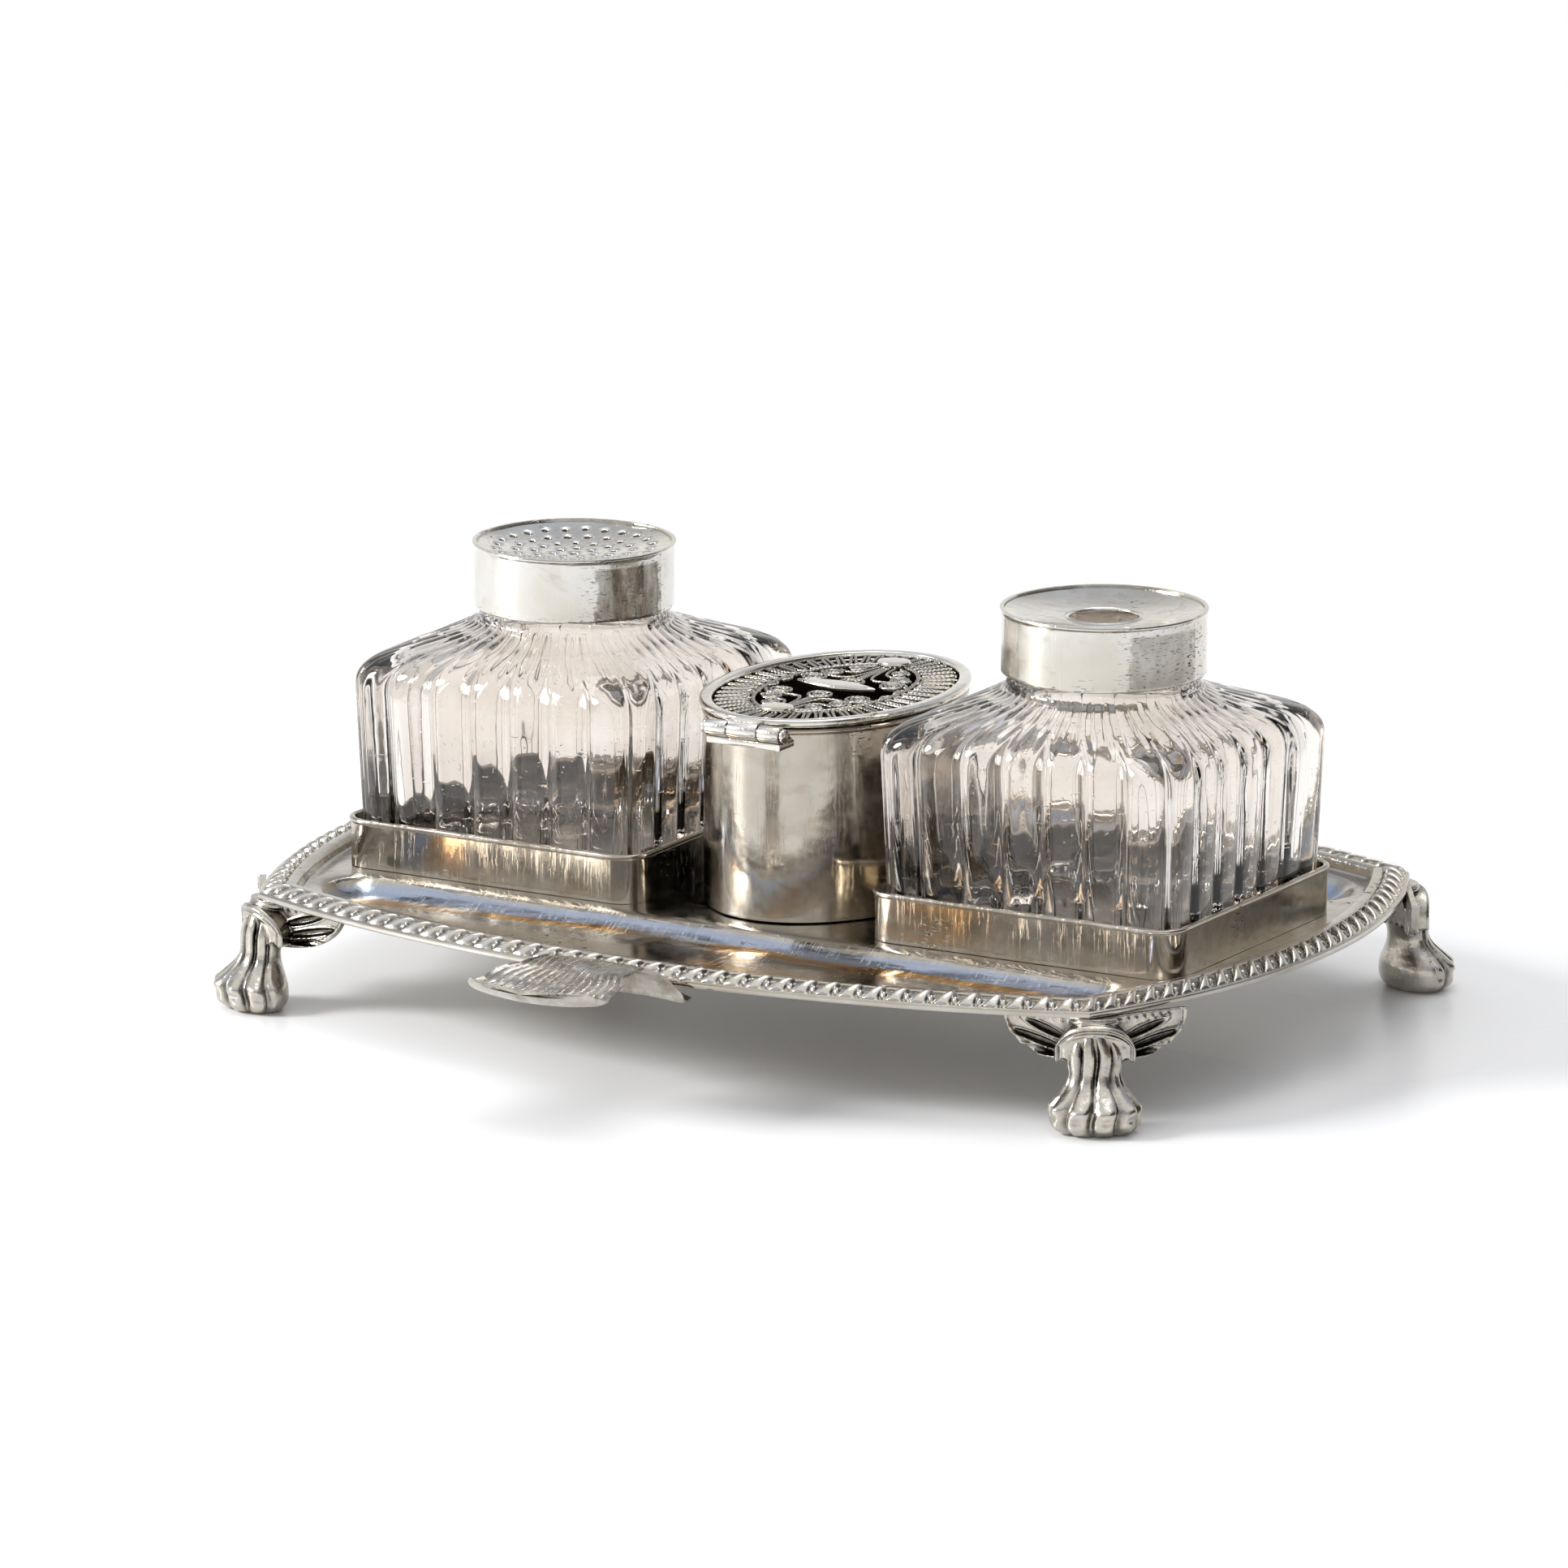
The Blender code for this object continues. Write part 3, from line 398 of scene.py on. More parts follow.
def hood_shape():
    """Leaf that arches over the knee, with a double line round it."""
    s = HOOD_HALF_WIDTH * np.sin(np.linspace(-1, 1, 121) * math.pi / 2)[:, None]
    share = np.linspace(0, 1, 70)[None, :]
    reach = unit(1 - (np.abs(s) / (HOOD_HALF_WIDTH + 0.02)) ** 2.3)
    highest = HOOD_FOOT + 1.6 + 6.1 * reach ** 0.5
    lowest = HOOD_FOOT + 0.9 * np.abs(np.sin(s * 1.35)) + 0.5 * reach
    z = lowest + (highest - lowest) * share
    from_rim = np.minimum(highest - z, (HOOD_HALF_WIDTH - np.abs(s)) * 1.5)
    relief = 0.62 * bump(from_rim - 0.55, 0.42) + 0.30 * bump(from_rim - 1.75, 0.35)
    veins = 0.30 * np.cos((s / 1.15) * (1 + 0.05 * (z - HOOD_FOOT))) * unit((from_rim - 2.2) / 1.2)
    face = 0.55 - 0.050 * s ** 2 + relief + veins
    place = s + 0 * share
    front = foot_plan(face, place)
    rear = foot_plan(np.full_like(face, HOOD_REAR), place * 0.8)
    return sheet_of(np.concatenate([with_height(front, z), with_height(rear, z)[:, ::-1]], 1), caps=True)


def knee_cap_shape():
    """Small block that joins the knee to the rim above it."""
    turn = (np.arange(60) * TURN / 60)[None, :]
    z, half = (column[:, None] for column in np.array(((17.0, 3.6), (19.3, 3.9), (20.0, 4.6), (20.5, 4.6),
                                                       (20.8, 4.2), (LEG_TOP, 4.4))).T)
    plan = foot_plan(half * 0.75 * np.cos(turn) - 3.6, half * np.sin(turn))
    return sheet_of(with_height(plan, z + 0 * turn), caps=True)


def wing_relief(along, height, lowest):
    """How far the wing's face stands proud: a bead round its edge and three long hollows."""
    end = np.minimum(height - lowest, (WING_LENGTH - along) * 1.2)
    relief = 0.55 * np.sqrt(unit(1 - ((end - 0.55) / 0.65) ** 2))
    for s, z, tilt, half_length, half_width in WING_HOLLOWS:
        lean = math.radians(tilt)
        far = (along - s) * math.cos(lean) + (height - z) * math.sin(lean)
        off = (height - z) * math.cos(lean) - (along - s) * math.sin(lean)
        reach = np.sqrt((far / half_length) ** 2 + (off / half_width) ** 2)
        relief = relief - 0.85 * unit(1 - reach ** 3) + 0.30 * bump(reach - 1.12, 0.17)
    beads = bump((along / 1.7) % 1.0 - 0.5, 0.2) * bump(height - 20.1, 0.45) * (along > 6) * (along < 17)
    return relief + 0.35 * beads


def wing_shape(hand):
    """Scalloped wing that stands out from the knee under one side of the rim."""
    corner, outwards, sideways = corner_axes()
    inwards, across = -outwards, sideways * hand
    ahead = inwards * math.cos(WING_TURN) + across * math.sin(WING_TURN)
    face = outwards * math.sin(WING_TURN) + across * math.cos(WING_TURN)
    along = WING_LENGTH * np.sin(np.linspace(0, 1, 110) * math.pi / 2)[:, None]
    share = np.linspace(0, 1, 60)[None, :]
    depth = WING_DEPTH * (1 - unit(along / (WING_LENGTH + 0.05)) ** 4) ** 0.55
    lowest = LEG_TOP - depth
    height = lowest + depth * share
    relief = wing_relief(along, height, lowest)
    place = along + 0 * share
    outer = corner + place[..., None] * ahead + (relief - 1.2)[..., None] * face
    inner = corner + place[..., None] * ahead + np.full_like(place, -2.4)[..., None] * face
    rings = np.concatenate([with_height(outer, height), with_height(inner, height)[:, ::-1]], 1)
    return sheet_of(rings, caps=True)


def cast_shape(name, shape, voxel, smoothing):
    """Melts overlapping solids into one cast body with a voxel remesh, and returns its shape."""
    mesh = bpy.data.meshes.new(name)
    mesh.from_pydata(shape[0].tolist(), [], shape[1])
    work = bmesh.new()
    work.from_mesh(mesh)
    bmesh.ops.recalc_face_normals(work, faces=work.faces)
    work.to_mesh(mesh)
    work.free()
    rough = bpy.data.objects.new(name, mesh)
    bpy.context.scene.collection.objects.link(rough)
    remesh = rough.modifiers.new("cast", 'REMESH')
    remesh.mode = 'VOXEL'
    remesh.voxel_size = voxel
    smooth = rough.modifiers.new("polish", 'SMOOTH')
    smooth.factor = 0.5
    smooth.iterations = smoothing
    bpy.context.view_layer.update()
    result = rough.evaluated_get(bpy.context.evaluated_depsgraph_get()).to_mesh()
    vertices = np.zeros(len(result.vertices) * 3)
    result.vertices.foreach_get("co", vertices)
    faces = [list(polygon.vertices) for polygon in result.polygons]
    bpy.data.objects.remove(rough)
    bpy.data.meshes.remove(mesh)
    return vertices.reshape(-1, 3), faces


def foot_shape():
    parts = join(leg_shape(), hood_shape(), knee_cap_shape(), wing_shape(1), wing_shape(-1))
    return moved(cast_shape("foot_model", parts, FOOT_VOXEL, 1), (FOOT_SHIFT, 0, 0))


# ---- Leaf thumb piece -----------------------------------------------------------
# Centre line of the leaf: distance in front of the rim, height, half width.
LEAF_LINE = ((-3.0, 19.9, 15.0), (0.4, 20.0, 15.5), (1.6, 21.6, 15.2), (3.0, 23.9, 13.2),
             (5.0, 25.6, 11.6), (8.0, 26.5, 10.6), (12.0, 26.6, 10.5), (16.0, 26.1, 11.5),
             (20.0, 25.2, 13.0), (24.0, 24.4, 14.1), (27.5, 24.0, 14.6), (30.5, 24.2, 14.4),
             (32.3, 25.0, 13.8), (33.3, 25.9, 13.1))
LEAF_THICKNESS = 1.1
LEAF_VEINS = 15


def leaf_relief(share, distance):
    """Veins that fan out from the stalk, finer towards the tip."""
    grow = unit((distance - 6) / 9)
    fan = share * (LEAF_VEINS / 2) * (0.75 + 0.25 * grow)
    veins = -0.24 * bump(off_whole(fan), 0.17)
    rib = 0.35 * bump(share, 0.09) * bump(distance - 14, 14)
    groove = -0.65 * bump(distance - 30.7, 0.9)
    return veins * (0.25 + 0.75 * grow) + rib + groove


def leaf_shape():
    line = through(LEAF_LINE, 150)
    share = np.linspace(-1, 1, 121)
    front = -CORNER_Y - BOW_LONG
    distance, height, half_width = (line[:, i:i + 1] for i in range(3))
    scallop = 0.9 * np.abs(np.sin(distance / 4.4 * math.pi / 2 + 0.5)) * unit((distance - 2) / 5)
    scallop = scallop * unit((33.0 - distance) / 3)
    width = half_width - 0.5 + scallop
    tip_bow = 1.3 * share ** 2 * unit((distance - 24) / 9)
    x = width * share
    y = front - distance + tip_bow + 0 * share
    dish = 1.2 * unit((distance - 12) / 8) * share ** 2 - 0.9 * unit((9 - distance) / 8) * share ** 4
    lift = 1.1 * unit((distance - 30.5) / 2.8) * (1 - share ** 2) * 0.4
    top = height + dish + lift + leaf_relief(share, distance)
    edge = np.sqrt(unit(1 - np.abs(share) ** 14))
    under = height + dish + lift - LEAF_THICKNESS * edge
    top = under + np.maximum(top - under, 0.25) * edge
    rings = np.concatenate([np.stack([x, y, top], -1), np.stack([x, y, under], -1)[:, ::-1]], 1)
    return sheet_of(rings, caps=True)


# ---- Galleries ------------------------------------------------------------------
def rounded_outline(half_x, half_y, radius, count):
    """Points at even steps round a rounded rectangle, and the outward normals there."""
    radius = min(radius, half_x, half_y)
    corners = []
    for quarter, (sign_x, sign_y) in enumerate(((1, 1), (-1, 1), (-1, -1), (1, -1))):
        turn = (quarter + np.linspace(0, 1, 41)) * math.pi / 2
        middle = np.array([sign_x * (half_x - radius), sign_y * (half_y - radius)])
        corners.append(middle + radius * np.stack([np.cos(turn), np.sin(turn)], -1))
    path = np.vstack(corners)
    start = np.array([[half_x, 0.0]])
    path = np.vstack([start, path, start])
    length = np.concatenate([[0], np.cumsum(np.hypot(*np.diff(path, axis=0).T))])
    steps = np.arange(count) * length[-1] / count
    points = np.stack([np.interp(steps, length, path[:, i]) for i in range(2)], -1)
    ahead = np.roll(points, -1, 0) - np.roll(points, 1, 0)
    normals = np.stack([ahead[:, 1], -ahead[:, 0]], -1) / np.hypot(*ahead.T)[:, None]
    return points, normals


# Gallery section round its wall: offset outwards from the outer face, height above its foot
GALLERY_SECTION = ((0.0, 0.0), (0.0, 8.1), (0.12, 8.35), (0.34, 8.5), (0.42, 8.8), (0.34, 9.1),
                   (0.1, 9.28), (-0.35, 9.3), (-0.7, 9.15), (-0.8, 8.8), (-0.8, 0.0))


def gallery_shape(node):
    low, high = local_box(node)
    middle, half = (low + high) / 2, (high - low) / 2
    points, normals = rounded_outline(half[0] - 0.3, half[1] - 0.3, 5.5, 320)
    turn = np.arange(320) * TURN / 320
    wave = 0.10 * np.sin(3 * turn + middle[0]) + 0.06 * np.sin(7 * turn)
    rings = []
    for offset, z in GALLERY_SECTION:
        rings.append(with_height(points + normals * (offset + wave[:, None]), low[2] + z - 0.25 * (z == 0)))
    return moved(sheet_of(rings, wrap_rows=True), (middle[0], middle[1], 0))


# ---- Bottles --------------------------------------------------------------------
FLUTES = 28
FLUTE_SAMPLES = 18
# Outside of a bottle: height above the base, half width, corner radius, flute depth, rib depth
BOTTLE_OUTSIDE = ((0.0, 29.0, 4.6, 0.0, 0.0), (0.3, 29.9, 4.9, 0.2, 0.0), (1.2, 30.8, 5.2, 0.8, 0.0),
                  (3.0, 31.3, 5.6, 1.2, 0.0), (8.0, 31.5, 5.8, 1.3, 0.0), (18.0, 31.9, 5.9, 1.3, 0.0),
                  (28.0, 32.3, 6.0, 1.3, 0.0), (33.0, 32.5, 6.1, 1.3, 0.0), (35.5, 32.6, 6.3, 1.35, 0.0),
                  (37.4, 32.3, 6.5, 1.35, 0.0), (39.0, 31.5, 7.0, 1.25, 0.08),
                  (40.3, 30.2, 8.2, 0.95, 0.25), (41.3, 28.5, 10.0, 0.5, 0.50),
                  (42.2, 26.6, 12.2, 0.15, 0.65), (43.2, 24.4, 14.6, 0.0, 0.65),
                  (44.3, 22.2, 17.0, 0.0, 0.60), (45.4, 20.3, 18.6, 0.0, 0.45),
                  (46.5, 18.95, 18.95, 0.0, 0.20), (48.0, 18.4, 18.4, 0.0, 0.0),
                  (52.0, 18.35, 18.35, 0.0, 0.0), (56.9, 18.35, 18.35, 0.0, 0.0),
                  (57.6, 18.0, 18.0, 0.0, 0.0), (57.8, 17.4, 17.4, 0.0, 0.0))
# Inside, from the mouth down: height, half width, corner radius
BOTTLE_INSIDE = ((57.8, 15.4, 15.4), (57.3, 14.8, 14.8), (50.0, 14.8, 14.8), (44.5, 15.2, 15.2),
                 (42.0, 17.5, 15.0), (40.0, 21.5, 13.0), (37.0, 26.0, 9.0), (33.0, 27.4, 8.0),
                 (22.0, 27.0, 8.0), (7.0, 26.2, 8.0), (4.2, 25.0, 8.0), (3.0, 22.5, 8.0))


def bottle_shape(x):
    """Outside with convex flutes and finer ribs on the shoulder, then the smooth inside."""
    count = FLUTES * FLUTE_SAMPLES
    flute = np.abs(off_whole(np.arange(count) / FLUTE_SAMPLES)) * 2
    rib = np.abs(off_whole(2 * np.arange(count) / FLUTE_SAMPLES)) * 2
    rings = []
    for z, half, radius, flute_depth, rib_depth in through(BOTTLE_OUTSIDE, 120):
        points, normals = rounded_outline(half, half, radius, count)
        cut = max(flute_depth, 0) * (1 - np.sqrt(unit(1 - flute ** 3.6)) * 0.999)
        cut = cut + max(rib_depth, 0) * (1 - np.sqrt(unit(1 - rib ** 2)))
        rings.append(with_height(points - normals * cut[:, None], z))
    for z, half, radius in through(BOTTLE_INSIDE, 60):
        points, normals = rounded_outline(half, half, radius, count)
        rings.append(with_height(points, z))
    return moved(sheet_of(rings, caps=True), (x, 0, BOTTLE_FOOT))


# ---- Caps -----------------------------------------------------------------------
COLLAR_RADIUS = 19.5
DISH_RADIUS = 18.85
DISH_SHEET = 0.6
POUNCE_DEPTH = 2.3
POUNCE_RINGS = ((1, 0.0), (7, 4.0), (13, 7.6), (18, 11.3), (24, 15.1))
POUNCE_HOLE = 0.66
MIDDLE_HOLE = 0.95
DIMPLE = 0.22              # width of the dimple round a hole
FUNNEL_DEPTH = 1.8
QUILL_HOLE = 6.6
# Collar section: radius less the collar's own, height below its top
COLLAR_SECTION = ((-0.35, 12.5), (-0.05, 12.45), (0.05, 12.2), (0.0, 11.8), (0.0, 8.0), (0.0, 4.0),
                  (0.0, 1.1), (0.05, 0.75), (0.28, 0.5), (0.33, 0.28), (0.22, 0.06), (-0.1, 0.0),
                  (-0.6, 0.05), (-0.62, 2.0), (-0.6, 12.3))


def collar_shape(x, phase):
    """Collar with a soldered seam up its +X side and a little unevenness."""
    turn = np.linspace(0, 1, 481)[:-1] * TURN
    arc = np.angle(np.exp(1j * turn)) * COLLAR_RADIUS
    seam = 0.13 * bump(arc, 0.30)
    uneven = 0.06 * np.sin(2 * turn + phase) + 0.03 * np.sin(5 * turn + 2 * phase)
    rings = []
    for offset, below in COLLAR_SECTION:
        radius = COLLAR_RADIUS + offset + uneven + (seam if offset > -0.3 and below > 0.6 else 0.0)
        dent = 0.12 * np.sin(3 * turn + phase) if below > 11 else 0.0
        plan = np.stack([radius * np.cos(turn), radius * np.sin(turn)], -1)
        rings.append(with_height(plan, CAP_TOP - below + dent * (offset > -0.5)))
    return moved(sheet_of(rings, wrap_rows=True), (x, 0, 0))


def dish_height(radius, depth):
    return CAP_TOP - 0.45 - depth * (1 - (radius / DISH_RADIUS) ** 2)


def sand_holes():
    """Centre and radius of every hole in the pounce dish."""
    holes = []
    for count, ring in POUNCE_RINGS:
        for i in range(count):
            turn = TURN * (i + 0.3 * ring) / count
            size = POUNCE_HOLE * (1 + 0.12 * math.sin(5.1 * i + ring)) if ring else MIDDLE_HOLE
            place = ring + 0.18 * math.sin(3.7 * i + ring)
            holes.append((place * math.cos(turn), place * math.sin(turn), size))
    return np.array(holes)


def pierced_plan(radius, holes, spacing):
    """Flat triangles that fill a disc round its holes."""
    points, edges = [], []
    for x, y, size, count in [(0, 0, radius, 180)] + [(*hole, 18) for hole in holes]:
        first = sum(len(group) for group in points)
        points.append(ellipse(size, size, count) + (x, y))
        edges += [(first + i, first + (i + 1) % count) for i in range(count)]
    for hole in holes:
        points.append(ellipse(hole[2] + DIMPLE, hole[2] + DIMPLE, 18) + hole[:2])
    steps = np.arange(-radius, radius, spacing)
    filling = np.stack(np.meshgrid(steps, steps * 0.93), -1).reshape(-1, 2)
    filling[:, 0] += np.where(np.arange(len(filling)) // len(steps) % 2, spacing / 2, 0)
    clear = np.hypot(*filling.T) < radius - spacing * 0.6
    apart = np.hypot(filling[:, None, 0] - holes[:, 0], filling[:, None, 1] - holes[:, 1])
    clear &= (apart > holes[:, 2] + DIMPLE + spacing * 0.4).all(1)
    points.append(filling[clear])
    flat = [Vector(point) for point in np.vstack(points)]
    made = delaunay_2d_cdt(flat, edges, [], 0, 1e-6)
    vertices = np.array([tuple(v) for v in made[0]])
    centres = vertices[np.array(made[2])].mean(1)
    apart = np.hypot(centres[:, None, 0] - holes[:, 0], centres[:, None, 1] - holes[:, 1])
    keep = (apart > holes[:, 2] * 0.97).all(1)
    return vertices, [list(face) for face, kept in zip(made[2], keep) if kept]


def pounce_dish_shape(x):
    """Upper face of the pierced bowl; each hole sits in the small dimple of its punch."""
    holes = sand_holes()
    plan, faces = pierced_plan(DISH_RADIUS, holes, 0.42)
    apart = np.hypot(plan[:, None, 0] - holes[:, 0], plan[:, None, 1] - holes[:, 1]) - holes[:, 2]
    dimple = (0.20 * bump(apart, 0.42)).sum(1) - 0.05 * bump(apart - 0.8, 0.25).sum(1)
    radius = np.hypot(*plan.T)
    height = dish_height(radius, POUNCE_DEPTH) - dimple + 0.02 * np.sin(plan[:, 0] / 2.1 + plan[:, 1] / 3.3)
    return moved((with_height(plan, height), faces), (x, 0, 0))


def ink_dish_shape(x):
    """Funnel-shaped bowl whose round hole has a rolled edge."""
    radii = np.linspace(DISH_RADIUS, QUILL_HOLE + 0.9, 24)
    over = [(r, dish_height(r, FUNNEL_DEPTH)) for r in radii]
    lip = over[-1][1]
    roll = [(QUILL_HOLE + 0.45 + 0.5 * math.cos(t), lip - 0.28 + 0.5 * math.sin(t))
            for t in np.linspace(math.radians(70), math.radians(270), 12)]
    under = [(r, dish_height(r, FUNNEL_DEPTH) - DISH_SHEET) for r in radii[::-1]]
    return moved(lathe(over + roll + under, 160), (x, 0, 0))


# ---- Oval box -------------------------------------------------------------------
BOX_A = 22.8
BOX_B = 31.5
OVAL_POINTS = 240
BOX_TOP = local_box("box_wall")[1][2]
# Wall section: offset outwards from the outer face, height below the wall's top
BOX_SECTION = ((0.0, 37.9), (0.0, 20.0), (0.0, 1.5), (0.02, 1.35), (0.28, 1.2), (0.42, 0.9), (0.42, 0.6),
               (0.28, 0.3), (0.0, 0.15), (-0.4, 0.0), (-0.8, 0.05), (-0.8, 37.9))


def box_shape():
    rings = [with_height(ellipse(BOX_A + offset, BOX_B + offset, OVAL_POINTS), BOX_TOP - below)
             for offset, below in BOX_SECTION]
    return sheet_of(rings, wrap_rows=True)


# ---- Filigree lid ---------------------------------------------------------------
LID_A = 23.4
LID_B = 32.8
LID_OPEN_A = 20.8
LID_OPEN_B = 30.6
LID_BOTTOM = local_box("lid_ring")[0][2]
# Ring section: share of the way from the opening to the outside, height above the ring's foot
LID_SECTION = ((0.0, 0.1), (0.0, 1.15), (0.06, 1.32), (0.16, 1.4), (0.55, 1.42), (0.84, 1.38),
               (0.95, 1.22), (1.0, 0.9), (1.0, 0.45), (0.96, 0.15), (0.9, 0.0), (0.05, 0.0))
INNER_A = 13.3
INNER_B = 22.5
BORDER_LOOPS = 50
PAIRING = 0.42             # draws the two legs of each loop together
WIRE_Z = LID_BOTTOM + 0.62
WIRE_RADIUS = 0.36
INNER_WIRE_RADIUS = 0.42
STEM_RADIUS = 0.33
ROPE_LAY = 1.9            # length of one full twist of the two strands
EYELET_Y = 6.1
EYELET_RADII = (2.2, 1.2)
# Coils of one quarter: place in plan, radius, hand
COILS = ((8.7, 6.4, 3.1, 1), (7.5, 11.8, 2.5, -1), (4.7, 16.4, 2.1, 1))
# Curved stems of one quarter in plan, from the end plaque to the coil that each one meets
STEMS = (((0.7, 20.0), (0.9, 15.5), (1.4, 12.0), (2.6, 9.4), (5.0, 8.8), (8.0, 9.5)),
         ((1.7, 19.9), (2.0, 17.2), (2.9, 14.4), (4.8, 13.3), (7.2, 14.3)),
         ((2.6, 20.2), (3.6, 19.2), (5.0, 18.6)),
         ((0.35, 19.5), (0.38, 14.0), (0.42, 9.0)),
         ((11.2, 9.6), (12.0, 12.0), (10.6, 15.2), (9.2, 15.0)),
         ((12.4, 1.0), (11.6, 2.6), (12.3, 4.4)))


def lid_ring_shape():
    rings = []
    for share, rise in LID_SECTION:
        a = LID_OPEN_A + (LID_A - LID_OPEN_A) * share
        b = LID_OPEN_B + (LID_B - LID_OPEN_B) * share
        rings.append(with_height(ellipse(a, b, OVAL_POINTS), LID_BOTTOM + rise))
    return sheet_of(rings, wrap_rows=True)


def resampled(path, step, closed=False):
    """Path with points at even steps."""
    path = np.asarray(path, float)
    if closed:
        path = np.vstack([path, path[:1]])
    length = np.concatenate([[0], np.cumsum(np.sqrt((np.diff(path, axis=0) ** 2).sum(1)))])
    count = max(8, int(length[-1] / step))
    steps = np.linspace(0, length[-1], count + (0 if closed else 1), endpoint=not closed)
    return np.stack([np.interp(steps, length, path[:, i]) for i in range(path.shape[1])], -1)


def rope(path, radius, closed=False, sides=8, step=0.2):
    """Two wires twisted together, laid along a path in plan at the height of the lid's wires."""
    path = resampled(path, step, closed)
    ahead = (np.roll(path, -1, 0) - np.roll(path, 1, 0)) if closed else np.gradient(path, axis=0)
    ahead = ahead / np.maximum(np.hypot(*ahead.T), 1e-9)[:, None]
    side = np.stack([-ahead[:, 1], ahead[:, 0]], -1)
    twist = np.arange(len(path)) * step / ROPE_LAY * TURN
    turn = np.arange(sides) * TURN / sides
    reach = radius * (0.62 + 0.48 * np.abs(np.cos(turn[None, :] - twist[:, None])))
    across = reach * np.cos(turn)
    plan = path[:, None, :] + across[..., None] * side[:, None, :]
    return sheet_of(with_height(plan, WIRE_Z + reach * np.sin(turn)), wrap_rows=closed, caps=not closed)


def border_path():
    """One wire folded to and fro round the band between the ring and the inner oval."""
    loop = np.linspace(0, 1, BORDER_LOOPS * 24, endpoint=False)
    swing = np.cos(loop * BORDER_LOOPS * TURN)
    swing = np.sign(swing) * np.abs(swing) ** 0.35
    loop = loop - PAIRING * np.sin(loop * BORDER_LOOPS * TURN) / (TURN * BORDER_LOOPS)
    clear = WIRE_RADIUS + 0.25
    a = (LID_OPEN_A + INNER_A) / 2 + (LID_OPEN_A - INNER_A - 2 * clear) / 2 * swing
    b = (LID_OPEN_B + INNER_B) / 2 + (LID_OPEN_B - INNER_B - 2 * clear) / 2 * swing
    return np.stack([a * np.cos(loop * TURN), b * np.sin(loop * TURN)], -1)


def coil_path(x, y, radius, hand, turns=2.6):
    """Flat spiral that winds inwards from its outer turn."""
    share = np.linspace(0, 1, 120)
    turn = share * turns * TURN * hand
    reach = (radius - WIRE_RADIUS) * (1 - 0.86 * share)
    return np.stack([x + reach * np.cos(turn), y + reach * np.sin(turn)], -1)


def scroll_shape(sign_x, sign_y):
    """Coils and stems of one quarter of the lid."""
    flip = np.array([sign_x, sign_y])
    ropes = [rope(coil_path(*coil) * flip, WIRE_RADIUS) for coil in COILS]
    ropes += [rope(through(stem, 40) * flip, STEM_RADIUS) for stem in STEMS]
    return join(*ropes)


def eyelet_shape(sign):
    return join(*[rope(ellipse(radius, radius, 60) + (0, sign * EYELET_Y), WIRE_RADIUS, closed=True)
                  for radius in EYELET_RADII])


def domed_plate(outline, low, rise, dome, steps=6):
    """Plate with rounded edges and a slightly domed top, drawn inwards from its outline."""
    outline = np.asarray(outline, float)
    middle = outline.mean(0)
    rings = [with_height(middle + (outline - middle) * 0.97, low),
             with_height(outline, low + rise * 0.3), with_height(outline, low + rise * 0.65)]
    for i in range(1, steps):
        share = 1 - i / steps * 0.9
        rings.append(with_height(middle + (outline - middle) * (share if i > 1 else 0.95),
                                 low + rise * (0.93 if i == 1 else 1.0) + dome * (1 - share ** 2)))
    return sheet_of(rings, caps=True)


def navette_shape():
    """Plain pointed oval in the middle of the lid."""
    low, high = local_box("lid_navette")
    half_length, half_height = (high[0] - low[0]) / 2, (high[1] - low[1]) / 2
    share = np.linspace(0, 1, 41)[:-1]
    upper = np.stack([half_length * (1 - 2 * share), half_height * np.sin(share * math.pi) ** 0.9], -1)
    return domed_plate(np.vstack([upper, -upper]), low[2] - 0.25, high[2] - low[2] + 0.25, 0.05)


def disc_shape(node):
    low, high = local_box(node)
    middle, half = (low + high) / 2, (high - low) / 2
    outline = ellipse(half[0], half[1], 64) + middle[:2]
    return domed_plate(outline, low[2] - 0.25, high[2] - low[2] + 0.25, 0.10)


# ---- Hinge ----------------------------------------------------------------------
KNUCKLE_RADIUS = 1.6
PIN_RADIUS = 0.6
HEAD_RADIUS = 1.35
HEAD_LENGTH = 0.75


def rod_along_x(low, high, radius, bevel=0.18, count=40):
    """Round rod on the hinge's axis with rounded ends."""
    profile = [(low, radius - bevel), (low + bevel * 0.4, radius - bevel * 0.3), (low + bevel, radius),
               (high - bevel, radius), (high - bevel * 0.4, radius - bevel * 0.3), (high, radius - bevel)]
    turn = np.arange(count) * TURN / count
    rings = [np.stack([np.full(count, x), HINGE_Y + r * np.cos(turn), HINGE_Z + r * np.sin(turn)], -1)
             for x, r in profile]
    return sheet_of(rings, caps=True)


def slab(outline, low, high, bevel=0.2):
    """Flat plate with softened edges over an outline in plan."""
    outline = np.asarray(outline, float)
    middle = outline.mean(0)
    away = outline - middle
    away = away / np.hypot(*away.T)[:, None]
    rings = [(bevel, low), (0, low + bevel), (0, high - bevel), (bevel, high)]
    return sheet_of([with_height(outline - away * inset, z) for inset, z in rings], caps=True)


